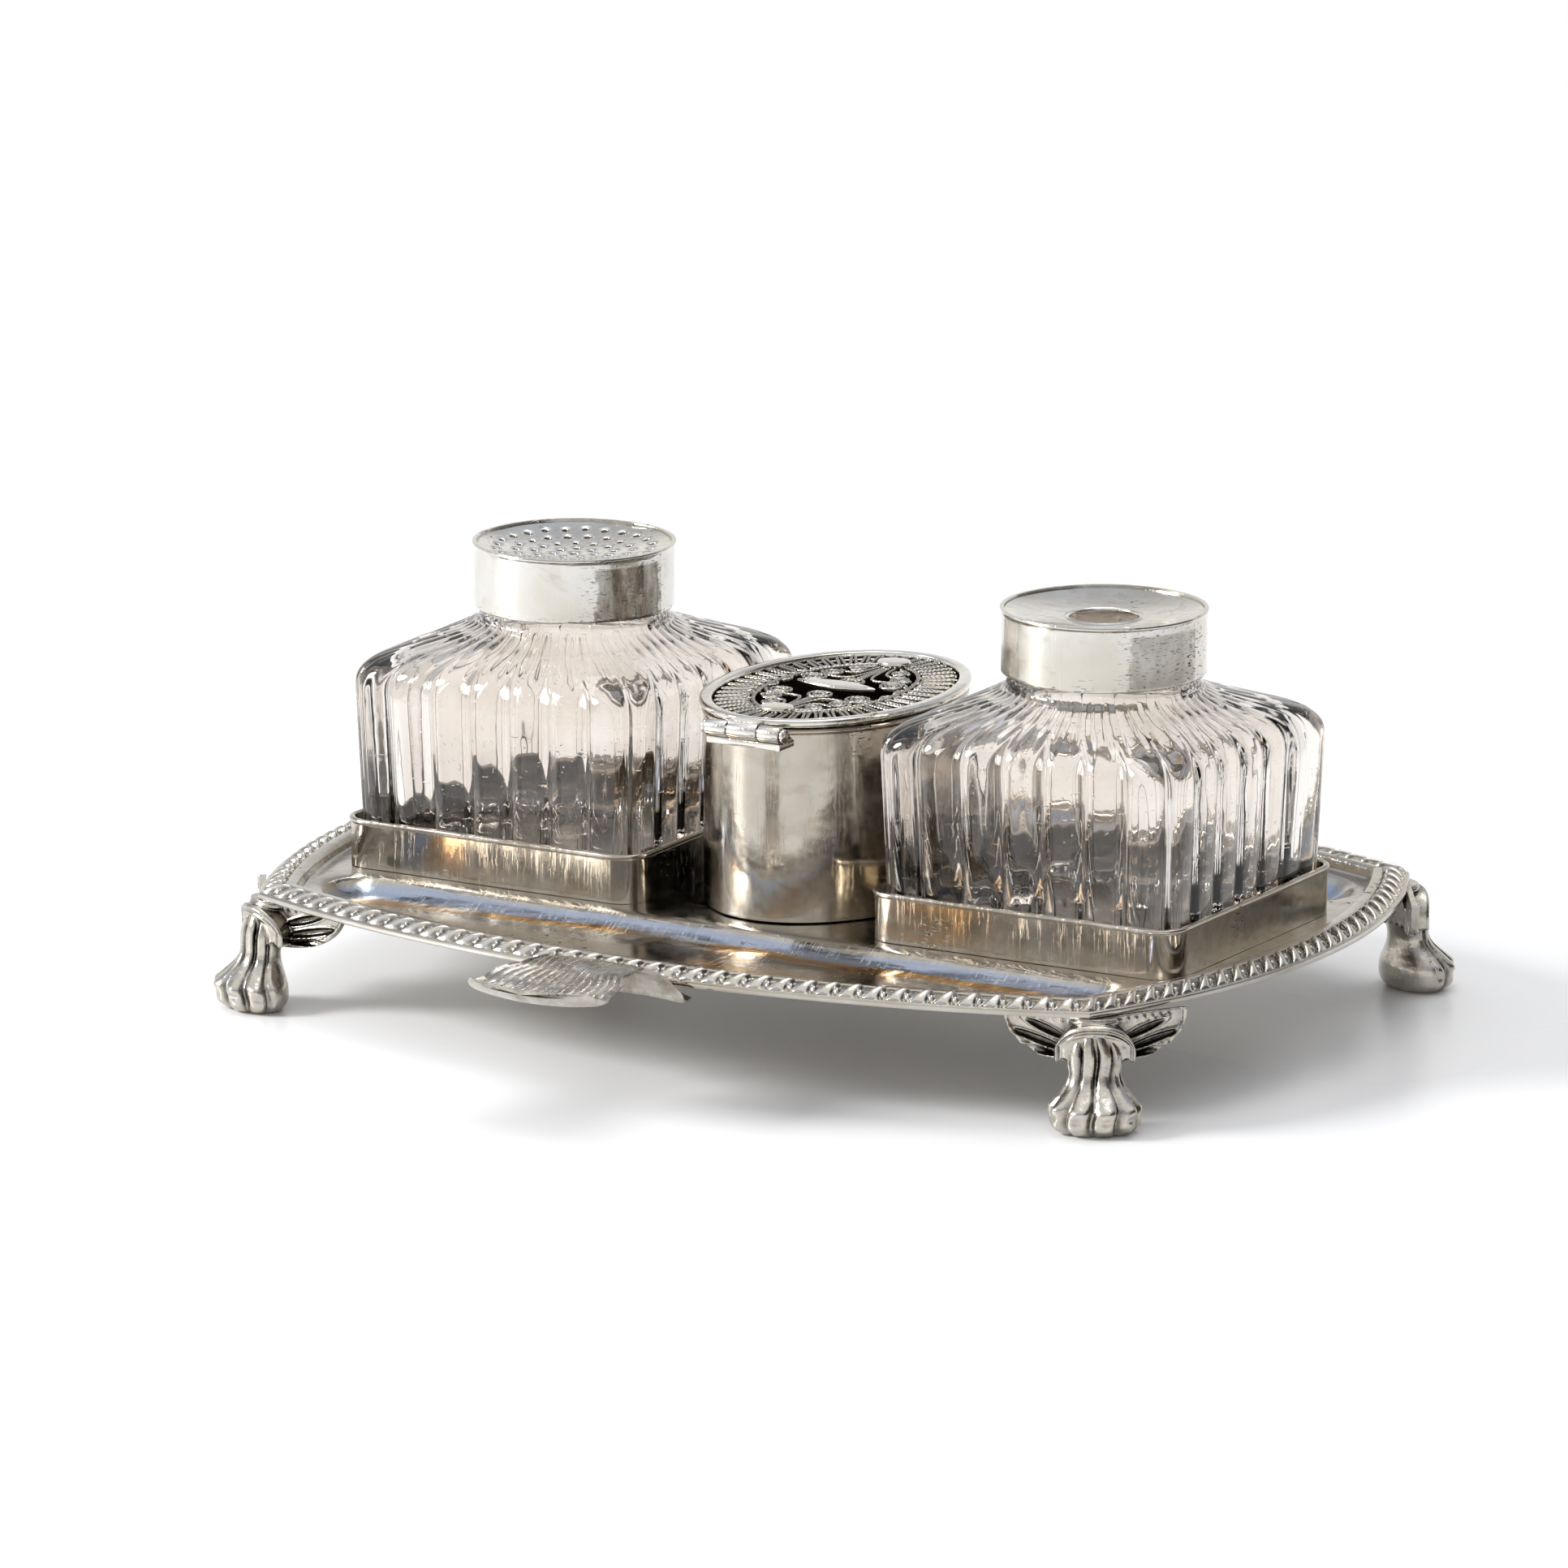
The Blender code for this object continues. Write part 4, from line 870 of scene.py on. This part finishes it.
def hinge_box_shape():
    """Seat that hugs the box wall, with the two outer knuckles."""
    low, high = local_box("hinge_leaf_box")
    gap = local_box("hinge_leaf_lid")[1][0] + 0.3
    share = np.linspace(1, -1, 25)
    a, b = BOX_A + 0.1, BOX_B + 0.1
    wall = np.stack([high[0] * share, -b * np.sqrt(1 - (high[0] * share / a) ** 2)], -1)
    front = np.stack([-high[0] * share, np.full(25, HINGE_Y - 0.5)], -1)
    seat = slab(np.vstack([wall, front]), low[2] - 0.4, low[2] + 0.9)
    return join(seat, rod_along_x(low[0], -gap, KNUCKLE_RADIUS), rod_along_x(gap, high[0], KNUCKLE_RADIUS))


def hinge_lid_shape():
    """Tab on the lid's rim with the middle knuckle."""
    low, high = local_box("hinge_leaf_lid")
    share = np.linspace(-1, 1, 13)
    front = np.stack([high[0] * share, np.full(13, HINGE_Y - 0.7)], -1)
    rear = np.stack([-high[0] * share, np.full(13, -LID_B + 0.4)], -1)
    tab = slab(np.vstack([front, rear]), HINGE_Z + 0.75, high[2] + 0.05)
    return join(tab, rod_along_x(low[0], high[0], KNUCKLE_RADIUS))


def hinge_pin_shape():
    """Pin with an eight-sided head at each end."""
    low, high = local_box("hinge_pin")
    heads = [rod_along_x(start, start + HEAD_LENGTH, HEAD_RADIUS, 0.2, 8)
             for start in (low[0], high[0] - HEAD_LENGTH)]
    return join(rod_along_x(low[0] + 0.2, high[0] - 0.2, PIN_RADIUS), *heads)


# ---- Materials ------------------------------------------------------------------
class Nodes:
    """Small helper that adds and links shader nodes."""

    def __init__(self, name):
        self.material = bpy.data.materials.new(name)
        self.material.use_nodes = True
        self.tree = self.material.node_tree
        self.shader = self.tree.nodes["Principled BSDF"]
        self.place = self.add("ShaderNodeTexCoord").outputs["Object"]

    def add(self, kind, **settings):
        node = self.tree.nodes.new(kind)
        for name, value in settings.items():
            setattr(node, name, value)
        return node

    def put(self, socket, value):
        if isinstance(value, bpy.types.NodeSocket):
            self.tree.links.new(value, socket)
        else:
            socket.default_value = value

    def noise(self, scale, detail=3.0, roughness=0.5, distortion=0.0, stretch=None):
        """Noise of features per metre, stretched along an axis if asked."""
        node = self.add("ShaderNodeTexNoise")
        place = self.place
        if stretch:
            mapping = self.add("ShaderNodeMapping")
            mapping.inputs["Scale"].default_value = stretch
            self.put(mapping.inputs["Vector"], place)
            place = mapping.outputs["Vector"]
        self.put(node.inputs["Vector"], place)
        node.inputs["Scale"].default_value = scale
        node.inputs["Detail"].default_value = detail
        node.inputs["Roughness"].default_value = roughness
        node.inputs["Distortion"].default_value = distortion
        return node.outputs["Fac"]

    def spread(self, value, low, high, to_low=0.0, to_high=1.0):
        """Maps a range of values to another, clamped, with smooth ends."""
        node = self.add("ShaderNodeMapRange", interpolation_type='SMOOTHSTEP')
        self.put(node.inputs["Value"], value)
        node.inputs["From Min"].default_value = low
        node.inputs["From Max"].default_value = high
        node.inputs["To Min"].default_value = to_low
        node.inputs["To Max"].default_value = to_high
        return node.outputs["Result"]

    def maths(self, operation, first, second):
        node = self.add("ShaderNodeMath", operation=operation)
        self.put(node.inputs[0], first)
        self.put(node.inputs[1], second)
        return node.outputs["Value"]

    def times(self, first, second):
        return self.maths('MULTIPLY', first, second)

    def plus(self, first, second):
        return self.maths('ADD', first, second)

    def mix(self, share, first, second):
        """Colour between two, by share."""
        node = self.add("ShaderNodeMix", data_type='RGBA')
        self.put(node.inputs[0], share)
        for socket, value in ((node.inputs[6], first), (node.inputs[7], second)):
            self.put(socket, value if isinstance(value, bpy.types.NodeSocket) else (*value, 1.0))
        return node.outputs[2]

    def height(self):
        """Height above the floor, in metres."""
        split = self.add("ShaderNodeSeparateXYZ")
        self.put(split.inputs["Vector"], self.place)
        return split.outputs["Z"]

    def vector(self, operation, first, second):
        node = self.add("ShaderNodeVectorMath", operation=operation)
        self.put(node.inputs[0], first)
        node.inputs[1].default_value = second
        return node

    def gloss(self, scale, detail, low, high, roughness=0.6):
        """Roughness that wanders between two values."""
        return self.spread(self.noise(scale, detail, roughness), 0.3, 0.8, low, high)

    def hollows(self, distance):
        """0 in deep recesses and 1 on open surfaces."""
        node = self.add("ShaderNodeAmbientOcclusion", samples=8, only_local=True)
        node.inputs["Distance"].default_value = distance
        return node.outputs["AO"]

    def bump(self, height, strength, distance):
        node = self.add("ShaderNodeBump")
        node.inputs["Strength"].default_value = strength
        node.inputs["Distance"].default_value = distance
        self.put(node.inputs["Height"], height)
        return node.outputs["Normal"]

    def finish(self, colour, roughness, normal=None, metallic=1.0):
        self.put(self.shader.inputs["Base Color"], colour)
        self.put(self.shader.inputs["Roughness"], roughness)
        self.shader.inputs["Metallic"].default_value = metallic
        if normal is not None:
            self.put(self.shader.inputs["Normal"], normal)
        return self.material


BRIGHT = (0.80, 0.785, 0.75)
WARM = (0.60, 0.545, 0.46)
TARNISH = (0.10, 0.075, 0.05)
OXIDE = (0.030, 0.025, 0.020)
# Reach of the dark in creases, in metres, and the openness over which it fades
CREASE = 0.0018
FINE_CREASE = 0.0012
CREASE_RANGE = (0.35, 0.90)
REFLECTION_TURN = math.radians(-24)     # middle of the painted reflection of the dark opening on a collar, from +X


def silver_finish(n, colour, crease, crease_range):
    """Adds scratches, short black pits in clusters and dark creases to a silver colour."""
    along = n.noise(90, 4, 0.7, 0.2, (30, 1, 1))
    across = n.noise(90, 4, 0.7, 0.2, (1, 30, 4))
    scratches = n.plus(n.spread(along, 0.56, 0.64), n.spread(across, 0.58, 0.66))
    cluster = n.spread(n.noise(42, 2, 0.5), 0.57, 0.66)
    speck = n.spread(n.noise(1150, 2, 0.6, 0.0, (0.5, 0.5, 2.2)), 0.60, 0.67)
    pit = n.times(cluster, speck)
    colour = n.mix(pit, colour, OXIDE)
    colour = n.mix(n.spread(n.hollows(crease), *crease_range), TARNISH, colour)
    roughness = n.plus(n.gloss(160, 5, 0.08, 0.24, 0.65), n.times(pit, 0.3))
    relief = n.maths('SUBTRACT', n.noise(70, 3, 0.5),
                     n.plus(n.times(scratches, 0.02), n.times(pit, 0.12)))
    return n.finish(colour, roughness, n.bump(relief, 0.5, 0.0005))


def patina(n, clean, warm, stained):
    """Silver colour with warm patches and brown stains."""
    patches = n.spread(n.noise(38, 4, 0.6, 0.4), 0.36, 0.66)
    stains = n.spread(n.noise(110, 5, 0.7, 0.6, (1, 1, 2.2)), 0.54, 0.78, 0.0, stained)
    return n.mix(stains, n.mix(patches, clean, warm), (0.34, 0.28, 0.20))


def polished_silver(name, clean, warm, stained, crease=CREASE, crease_range=CREASE_RANGE):
    """Old polished silver."""
    n = Nodes(name)
    return silver_finish(n, patina(n, clean, warm, stained), crease, crease_range)


def tray_silver():
    """Bluish toning down the sides of the pen troughs and orange toning at their foot and on their flats."""
    n = Nodes("tray_silver")
    wander = n.spread(n.noise(60, 3, 0.6, 0.3, (0.25, 1, 1)), 0.2, 0.8, -0.0006, 0.0006)
    height = n.plus(n.height(), wander)
    colour = patina(n, (0.53, 0.51, 0.47), (0.44, 0.40, 0.34), 0.6)
    blue = n.times(n.spread(height, 0.0185, 0.0192), n.spread(height, 0.0208, 0.0201))
    colour = n.mix(n.times(blue, 0.6), colour, (0.30, 0.40, 0.60))
    orange = n.times(n.spread(height, 0.0182, 0.0184), n.spread(height, 0.0190, 0.0188))
    broken = n.spread(n.noise(35, 3, 0.6, 0.0, (0.6, 1, 1)), 0.42, 0.56)
    colour = n.mix(n.times(orange, broken), colour, (0.52, 0.33, 0.16))
    return silver_finish(n, colour, CREASE, CREASE_RANGE)


def collar_silver(name, x, strength):
    """Cap collar: painted reflection of the dark opening, as a sharp-edged brown patch on its right-hand
    side.
    """
    n = Nodes(name)
    axis = Vector((MIDDLE[0] + x, MIDDLE[1], 0)) * MM
    # direction in which the collar mirrors the dark opening; the reflection is painted there
    towards_reflection = Vector((math.cos(REFLECTION_TURN), math.sin(REFLECTION_TURN), 0))
    offset = n.vector('SUBTRACT', n.place, axis).outputs["Vector"]
    reach = n.vector('DOT_PRODUCT', offset, towards_reflection).outputs["Value"]
    height = n.height()
    edge = n.plus(reach, n.spread(n.noise(500, 3, 0.6), 0.2, 0.8, -0.0003, 0.0003))
    # painted reflection: a sharp-edged band on the right-hand side, below the lip
    reflection_patch = n.times(n.spread(edge, 0.0179, 0.0182), n.spread(height, 0.0818, 0.0812))
    mottled_reflection = n.times(reflection_patch, n.spread(n.noise(300, 4, 0.65, 0.0, (1, 1, 0.4)), 0.30, 0.62, 0.55, 1.0))
    colour = patina(n, (0.72, 0.71, 0.68), (0.62, 0.59, 0.52), 0.5)
    # paints the mottled brown reflection over the patina
    colour = n.mix(n.times(mottled_reflection, strength), colour, (0.20, 0.17, 0.13))
    specks = n.spread(n.noise(1900, 2, 0.6, 0.0, (0.4, 0.4, 1.9)), 0.60, 0.66)
    low_edge = n.spread(height, 0.0722, 0.0716)
    near = n.times(n.maths('MAXIMUM', n.spread(edge, 0.0160, 0.0176), low_edge), 0.7)
    colour = n.mix(n.times(specks, near), colour, OXIDE)
    return silver_finish(n, colour, FINE_CREASE, CREASE_RANGE)


def cast_silver(name, depth, low, high, bright):
    """Cast ornament: bright on the high points and black-brown in the recesses."""
    n = Nodes(name)
    patches = n.spread(n.noise(420, 4, 0.65), 0.38, 0.66)
    colour = n.mix(patches, bright, WARM)
    uneven = n.times(n.noise(900, 3, 0.6), 0.3)
    open_surface = n.spread(n.plus(n.hollows(depth), uneven), low, high)
    colour = n.mix(open_surface, OXIDE, colour)
    roughness = n.gloss(500, 4, 0.16, 0.34)
    relief = n.noise(650, 3, 0.6)
    return n.finish(colour, roughness, n.bump(relief, 0.35, 0.0003))


def leaf_silver():
    """Thumb piece: brown patina over worn silver, dark in its veins."""
    n = Nodes("leaf_silver")
    patches = n.spread(n.noise(140, 5, 0.65, 0.5), 0.40, 0.66)
    colour = n.mix(patches, (0.50, 0.47, 0.42), (0.30, 0.26, 0.215))
    worn = n.spread(n.noise(420, 3, 0.6), 0.55, 0.72)
    colour = n.mix(n.times(worn, 0.35), colour, BRIGHT)
    colour = n.mix(n.spread(n.hollows(0.0012), 0.60, 0.98), OXIDE, colour)
    roughness = n.gloss(300, 4, 0.18, 0.34)
    return n.finish(colour, roughness, n.bump(n.noise(500, 3, 0.6), 0.35, 0.0003))


def pressed_glass():
    """Clear pressed glass with a lilac-brown cast and a slightly uneven skin."""
    n = Nodes("pressed_glass")
    shader = n.shader
    shader.inputs["Transmission Weight"].default_value = 1.0
    shader.inputs["IOR"].default_value = 1.50
    streaks = n.spread(n.noise(45, 3, 0.6, 0.8, (1, 1, 0.35)), 0.35, 0.65)
    tint = n.mix(streaks, (0.93, 0.90, 0.865), (0.83, 0.775, 0.72))
    seeds = n.spread(n.noise(900, 1, 0.5), 0.70, 0.76)
    relief = n.plus(n.noise(120, 2, 0.5), n.times(seeds, 0.5))
    roughness = n.gloss(200, 3, 0.0, 0.06, 0.5)
    return n.finish(tint, roughness, n.bump(relief, 0.15, 0.0005), metallic=0.0)


def paper_white():
    """Pale floor with a faint gloss."""
    n = Nodes("floor_white")
    tone = n.mix(n.noise(3, 2, 0.5), (0.90, 0.90, 0.90), (0.93, 0.93, 0.93))
    return n.finish(tone, n.spread(n.noise(5, 2, 0.5), 0.3, 0.7, 0.26, 0.34), metallic=0.0)


# ---- Assembly -------------------------------------------------------------------
def build_tray(dull, cast, paw):
    add_piece("silver_tray", tray_shape(), "tray", ["tray_plate"], tray_silver(), 30)
    for side in SIDES:
        add_piece("gadroons_" + side, gadroon_shape(side), "tray", ["border_" + side], cast,
                  NO_EDGES)
    foot = foot_shape()
    for name, flip_x, flip_y in (("front_right", False, False), ("front_left", True, False),
                                 ("back_right", False, True), ("back_left", True, True)):
        add_piece("paw_foot_" + name, mirrored(foot, flip_x, flip_y), "tray", ["foot_" + name],
                  paw, NO_EDGES)
    add_piece("leaf_thumbpiece", leaf_shape(), "tray", ["leaf_handle"], leaf_silver(), 60)
    for side in ("left", "right"):
        add_piece("gallery_frame_" + side, gallery_shape("gallery_" + side), "tray", ["gallery_" + side],
                  dull)


def build_bottle_set(kind, x, silver, glass):
    add_piece(kind + "_bottle_glass", bottle_shape(x), kind + "_bottle", [kind + "_bottle"],
              glass, NO_EDGES)
    # collar material with tarnish pits and a painted reflection; the number sets how dark the painted
    # reflection is
    tarnish_and_painted_reflection = collar_silver(kind + "_collar_silver", x, 0.55 if kind == "ink" else 0.95)
    add_piece(kind + "_cap_collar", collar_shape(x, x), kind + "_cap", [kind + "_collar"],
              tarnish_and_painted_reflection)
    if kind == "ink":
        add_piece("ink_cap_dish", ink_dish_shape(x), "ink_cap", ["ink_dish"], silver)
        return
    pierced = polished_silver("pierced_silver", BRIGHT, (0.72, 0.68, 0.60), 0.4, FINE_CREASE, (0.62, 0.96))
    dish = add_piece("pounce_cap_dish", pounce_dish_shape(x), "pounce_cap", ["pounce_dish"],
                     pierced, 60)
    solid = dish.modifiers.new("sheet", 'SOLIDIFY')
    solid.thickness = DISH_SHEET * MM
    solid.offset = -1


def build_box(dull):
    add_piece("oval_box_wall", box_shape(), "tray", ["box_wall"], dull)
    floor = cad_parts["box_floor"]
    floor.data.materials.clear()
    floor.data.materials.append(dull)


def build_lid(silver, wire):
    def add_plate(name, shape, body, node):
        add_piece(name, shape, body, [node], silver)

    def add_wire(name, shape, node):
        add_piece(name, shape, "lid", [node], wire, NO_EDGES)

    add_plate("lid_rim", lid_ring_shape(), "lid", "lid_ring")
    add_wire("lid_folded_wire", rope(border_path(), WIRE_RADIUS, closed=True), "lid_border_wire")
    inner_oval = ellipse(INNER_A - 0.3, INNER_B - 0.3, 400)
    add_wire("lid_oval_wire", rope(inner_oval, INNER_WIRE_RADIUS, closed=True), "lid_inner_frame")
    for end, sign_y in (("front", -1), ("back", 1)):
        add_wire("lid_eye_" + end, eyelet_shape(sign_y), "lid_eyelet_" + end)
        add_plate("lid_plaque_" + end, disc_shape("lid_disc_" + end), "lid", "lid_disc_" + end)
        for side, sign_x in (("left", -1), ("right", 1)):
            quarter = end + "_" + side
            add_wire("lid_scrolls_" + quarter, scroll_shape(sign_x, sign_y), "lid_scroll_" + quarter)
    add_plate("lid_plaque_middle", navette_shape(), "lid", "lid_navette")
    add_plate("hinge_seat", hinge_box_shape(), "tray", "hinge_leaf_box")
    add_plate("hinge_tab", hinge_lid_shape(), "lid", "hinge_leaf_lid")
    add_plate("hinge_rivet", hinge_pin_shape(), "tray", "hinge_pin")


# ---- Stage, lights and camera ---------------------------------------------------
CAMERA_TURN = math.radians(30.18)
CAMERA_RISE = math.radians(14.32)
CAMERA_DISTANCE = 2.5
CAMERA_LENS = 298.4
AIM_RIGHT = -0.0100       # the camera's aim from the tray's middle, to its right and up
AIM_UP = 0.0408
FLOOR_REACH = 4.0
# Each light's name, place, size, power and the point that it faces
LIGHTS = (("key", (-1.7, -1.2, 1.2), 0.9, 56, (0, 0, 0.05)),
          ("top", (-0.1, 0.6, 2.4), 1.6, 14, (0, 0.5, 0)))
WORLD_STRENGTH = 1.02
# World colours: by height, and towards the dark opening
WORLD_RISE = ((0.0, (0.95, 0.94, 0.92)), (0.26, (0.90, 0.89, 0.87)), (0.42, (0.50, 0.50, 0.50)),
              (0.58, (0.46, 0.49, 0.55)), (0.72, (0.66, 0.70, 0.80)), (0.86, (1.0, 1.0, 1.0)))
WORLD_DARK = ((0.66, (1.0, 1.0, 1.0)), (0.82, (0.14, 0.12, 0.10)))
DARK_SIDE = (0.98, 0.2, 0.15)
BOUNCES = 16              # enough for light to pass through both walls of a bottle


def camera_axes():
    """Unit vectors to the camera's right, up, and back towards it."""
    right = Vector((math.cos(CAMERA_TURN), math.sin(CAMERA_TURN), 0))
    back = Vector((math.sin(CAMERA_TURN) * math.cos(CAMERA_RISE),
                   -math.cos(CAMERA_TURN) * math.cos(CAMERA_RISE), math.sin(CAMERA_RISE)))
    return right, back.cross(right), back


def make_camera():
    right, up, back = camera_axes()
    data = bpy.data.cameras.new("camera")
    data.lens = CAMERA_LENS
    data.sensor_width = 36
    data.clip_start = 0.1
    data.clip_end = 50
    camera = bpy.data.objects.new("camera", data)
    bpy.context.scene.collection.objects.link(camera)
    middle = Vector(MIDDLE * MM)
    target = middle + right * AIM_RIGHT + up * AIM_UP
    camera.location = middle + back * CAMERA_DISTANCE
    camera.rotation_mode = 'QUATERNION'
    camera.rotation_quaternion = (target - camera.location).to_track_quat('-Z', 'Y')
    bpy.context.scene.camera = camera


def make_floor():
    corners = [(x * FLOOR_REACH, y * FLOOR_REACH, 0) for x, y in ((-1, -1), (1, -1), (1, 1), (-1, 1))]
    mesh = bpy.data.meshes.new("floor")
    mesh.from_pydata(corners, [], [(0, 1, 2, 3)])
    mesh.materials.append(paper_white())
    floor = bpy.data.objects.new("floor", mesh)
    bpy.context.scene.collection.objects.link(floor)


def add_area_light(name, location, size, power, target):
    data = bpy.data.lights.new(name, 'AREA')
    data.shape = 'DISK'
    data.size = size
    data.energy = power
    light = bpy.data.objects.new(name, data)
    bpy.context.scene.collection.objects.link(light)
    light.location = location
    light.rotation_mode = 'QUATERNION'
    light.rotation_quaternion = (Vector(target) - Vector(location)).to_track_quat('-Z', 'Y')


def ramp_of(tree, value, stops):
    """Colour ramp with the given (position, colour) stops."""
    ramp = tree.nodes.new("ShaderNodeValToRGB")
    tree.links.new(value, ramp.inputs["Fac"])
    elements = ramp.color_ramp.elements
    for i, (position, colour) in enumerate(stops):
        element = elements[i] if i < 2 else elements.new(position)
        element.position = position
        element.color = (*colour, 1)
    return ramp.outputs["Color"]


def share_toward(tree, place, direction):
    """Cosine between a direction and the one being looked at, from 0 to 1."""
    node = tree.nodes.new("ShaderNodeVectorMath")
    node.operation = 'DOT_PRODUCT'
    tree.links.new(place, node.inputs[0])
    node.inputs[1].default_value = Vector(direction).normalized()
    return node.outputs["Value"]


def multiply_colours(tree, first, second):
    node = tree.nodes.new("ShaderNodeMix")
    node.data_type = 'RGBA'
    node.blend_type = 'MULTIPLY'
    node.inputs[0].default_value = 1.0
    tree.links.new(first, node.inputs[6])
    tree.links.new(second, node.inputs[7])
    return node.outputs[2]


def make_world():
    """Bright room that greys with height, with a dark opening on the right."""
    world = bpy.data.worlds.new("studio")
    world.use_nodes = True
    bpy.context.scene.world = world
    tree = world.node_tree
    background = tree.nodes["Background"]
    place = tree.nodes.new("ShaderNodeTexCoord").outputs["Generated"]
    height = share_toward(tree, place, (0, 0, 1))
    rise = ramp_of(tree, height, WORLD_RISE)
    dark_right = ramp_of(tree, share_toward(tree, place, DARK_SIDE), WORLD_DARK)
    tree.links.new(multiply_colours(tree, rise, dark_right), background.inputs["Color"])
    background.inputs["Strength"].default_value = WORLD_STRENGTH


def make_stage():
    make_floor()
    make_world()
    for light in LIGHTS:
        add_area_light(*light)
    make_camera()
    bpy.context.scene.cycles.max_bounces = BOUNCES
    bpy.context.scene.cycles.transmission_bounces = BOUNCES
    bpy.context.scene.view_settings.view_transform = 'Standard'


def main():
    silver = polished_silver("polished_silver", BRIGHT, (0.70, 0.66, 0.59), 0.5)
    dull = polished_silver("dull_silver", (0.52, 0.49, 0.44), (0.42, 0.37, 0.30), 0.7)
    cast = cast_silver("cast_silver", 0.0018, 0.78, 1.12, (0.58, 0.56, 0.52))
    paw = cast_silver("paw_silver", 0.0030, 0.66, 1.18, (0.52, 0.50, 0.46))
    wire = cast_silver("filigree_silver", 0.0016, 0.66, 1.10, (0.50, 0.48, 0.44))
    glass = pressed_glass()
    build_tray(dull, cast, paw)
    build_bottle_set("pounce", -BOTTLE_X, silver, glass)
    build_bottle_set("ink", BOTTLE_X, silver, glass)
    build_box(dull)
    build_lid(silver, wire)
    make_stage()


main()
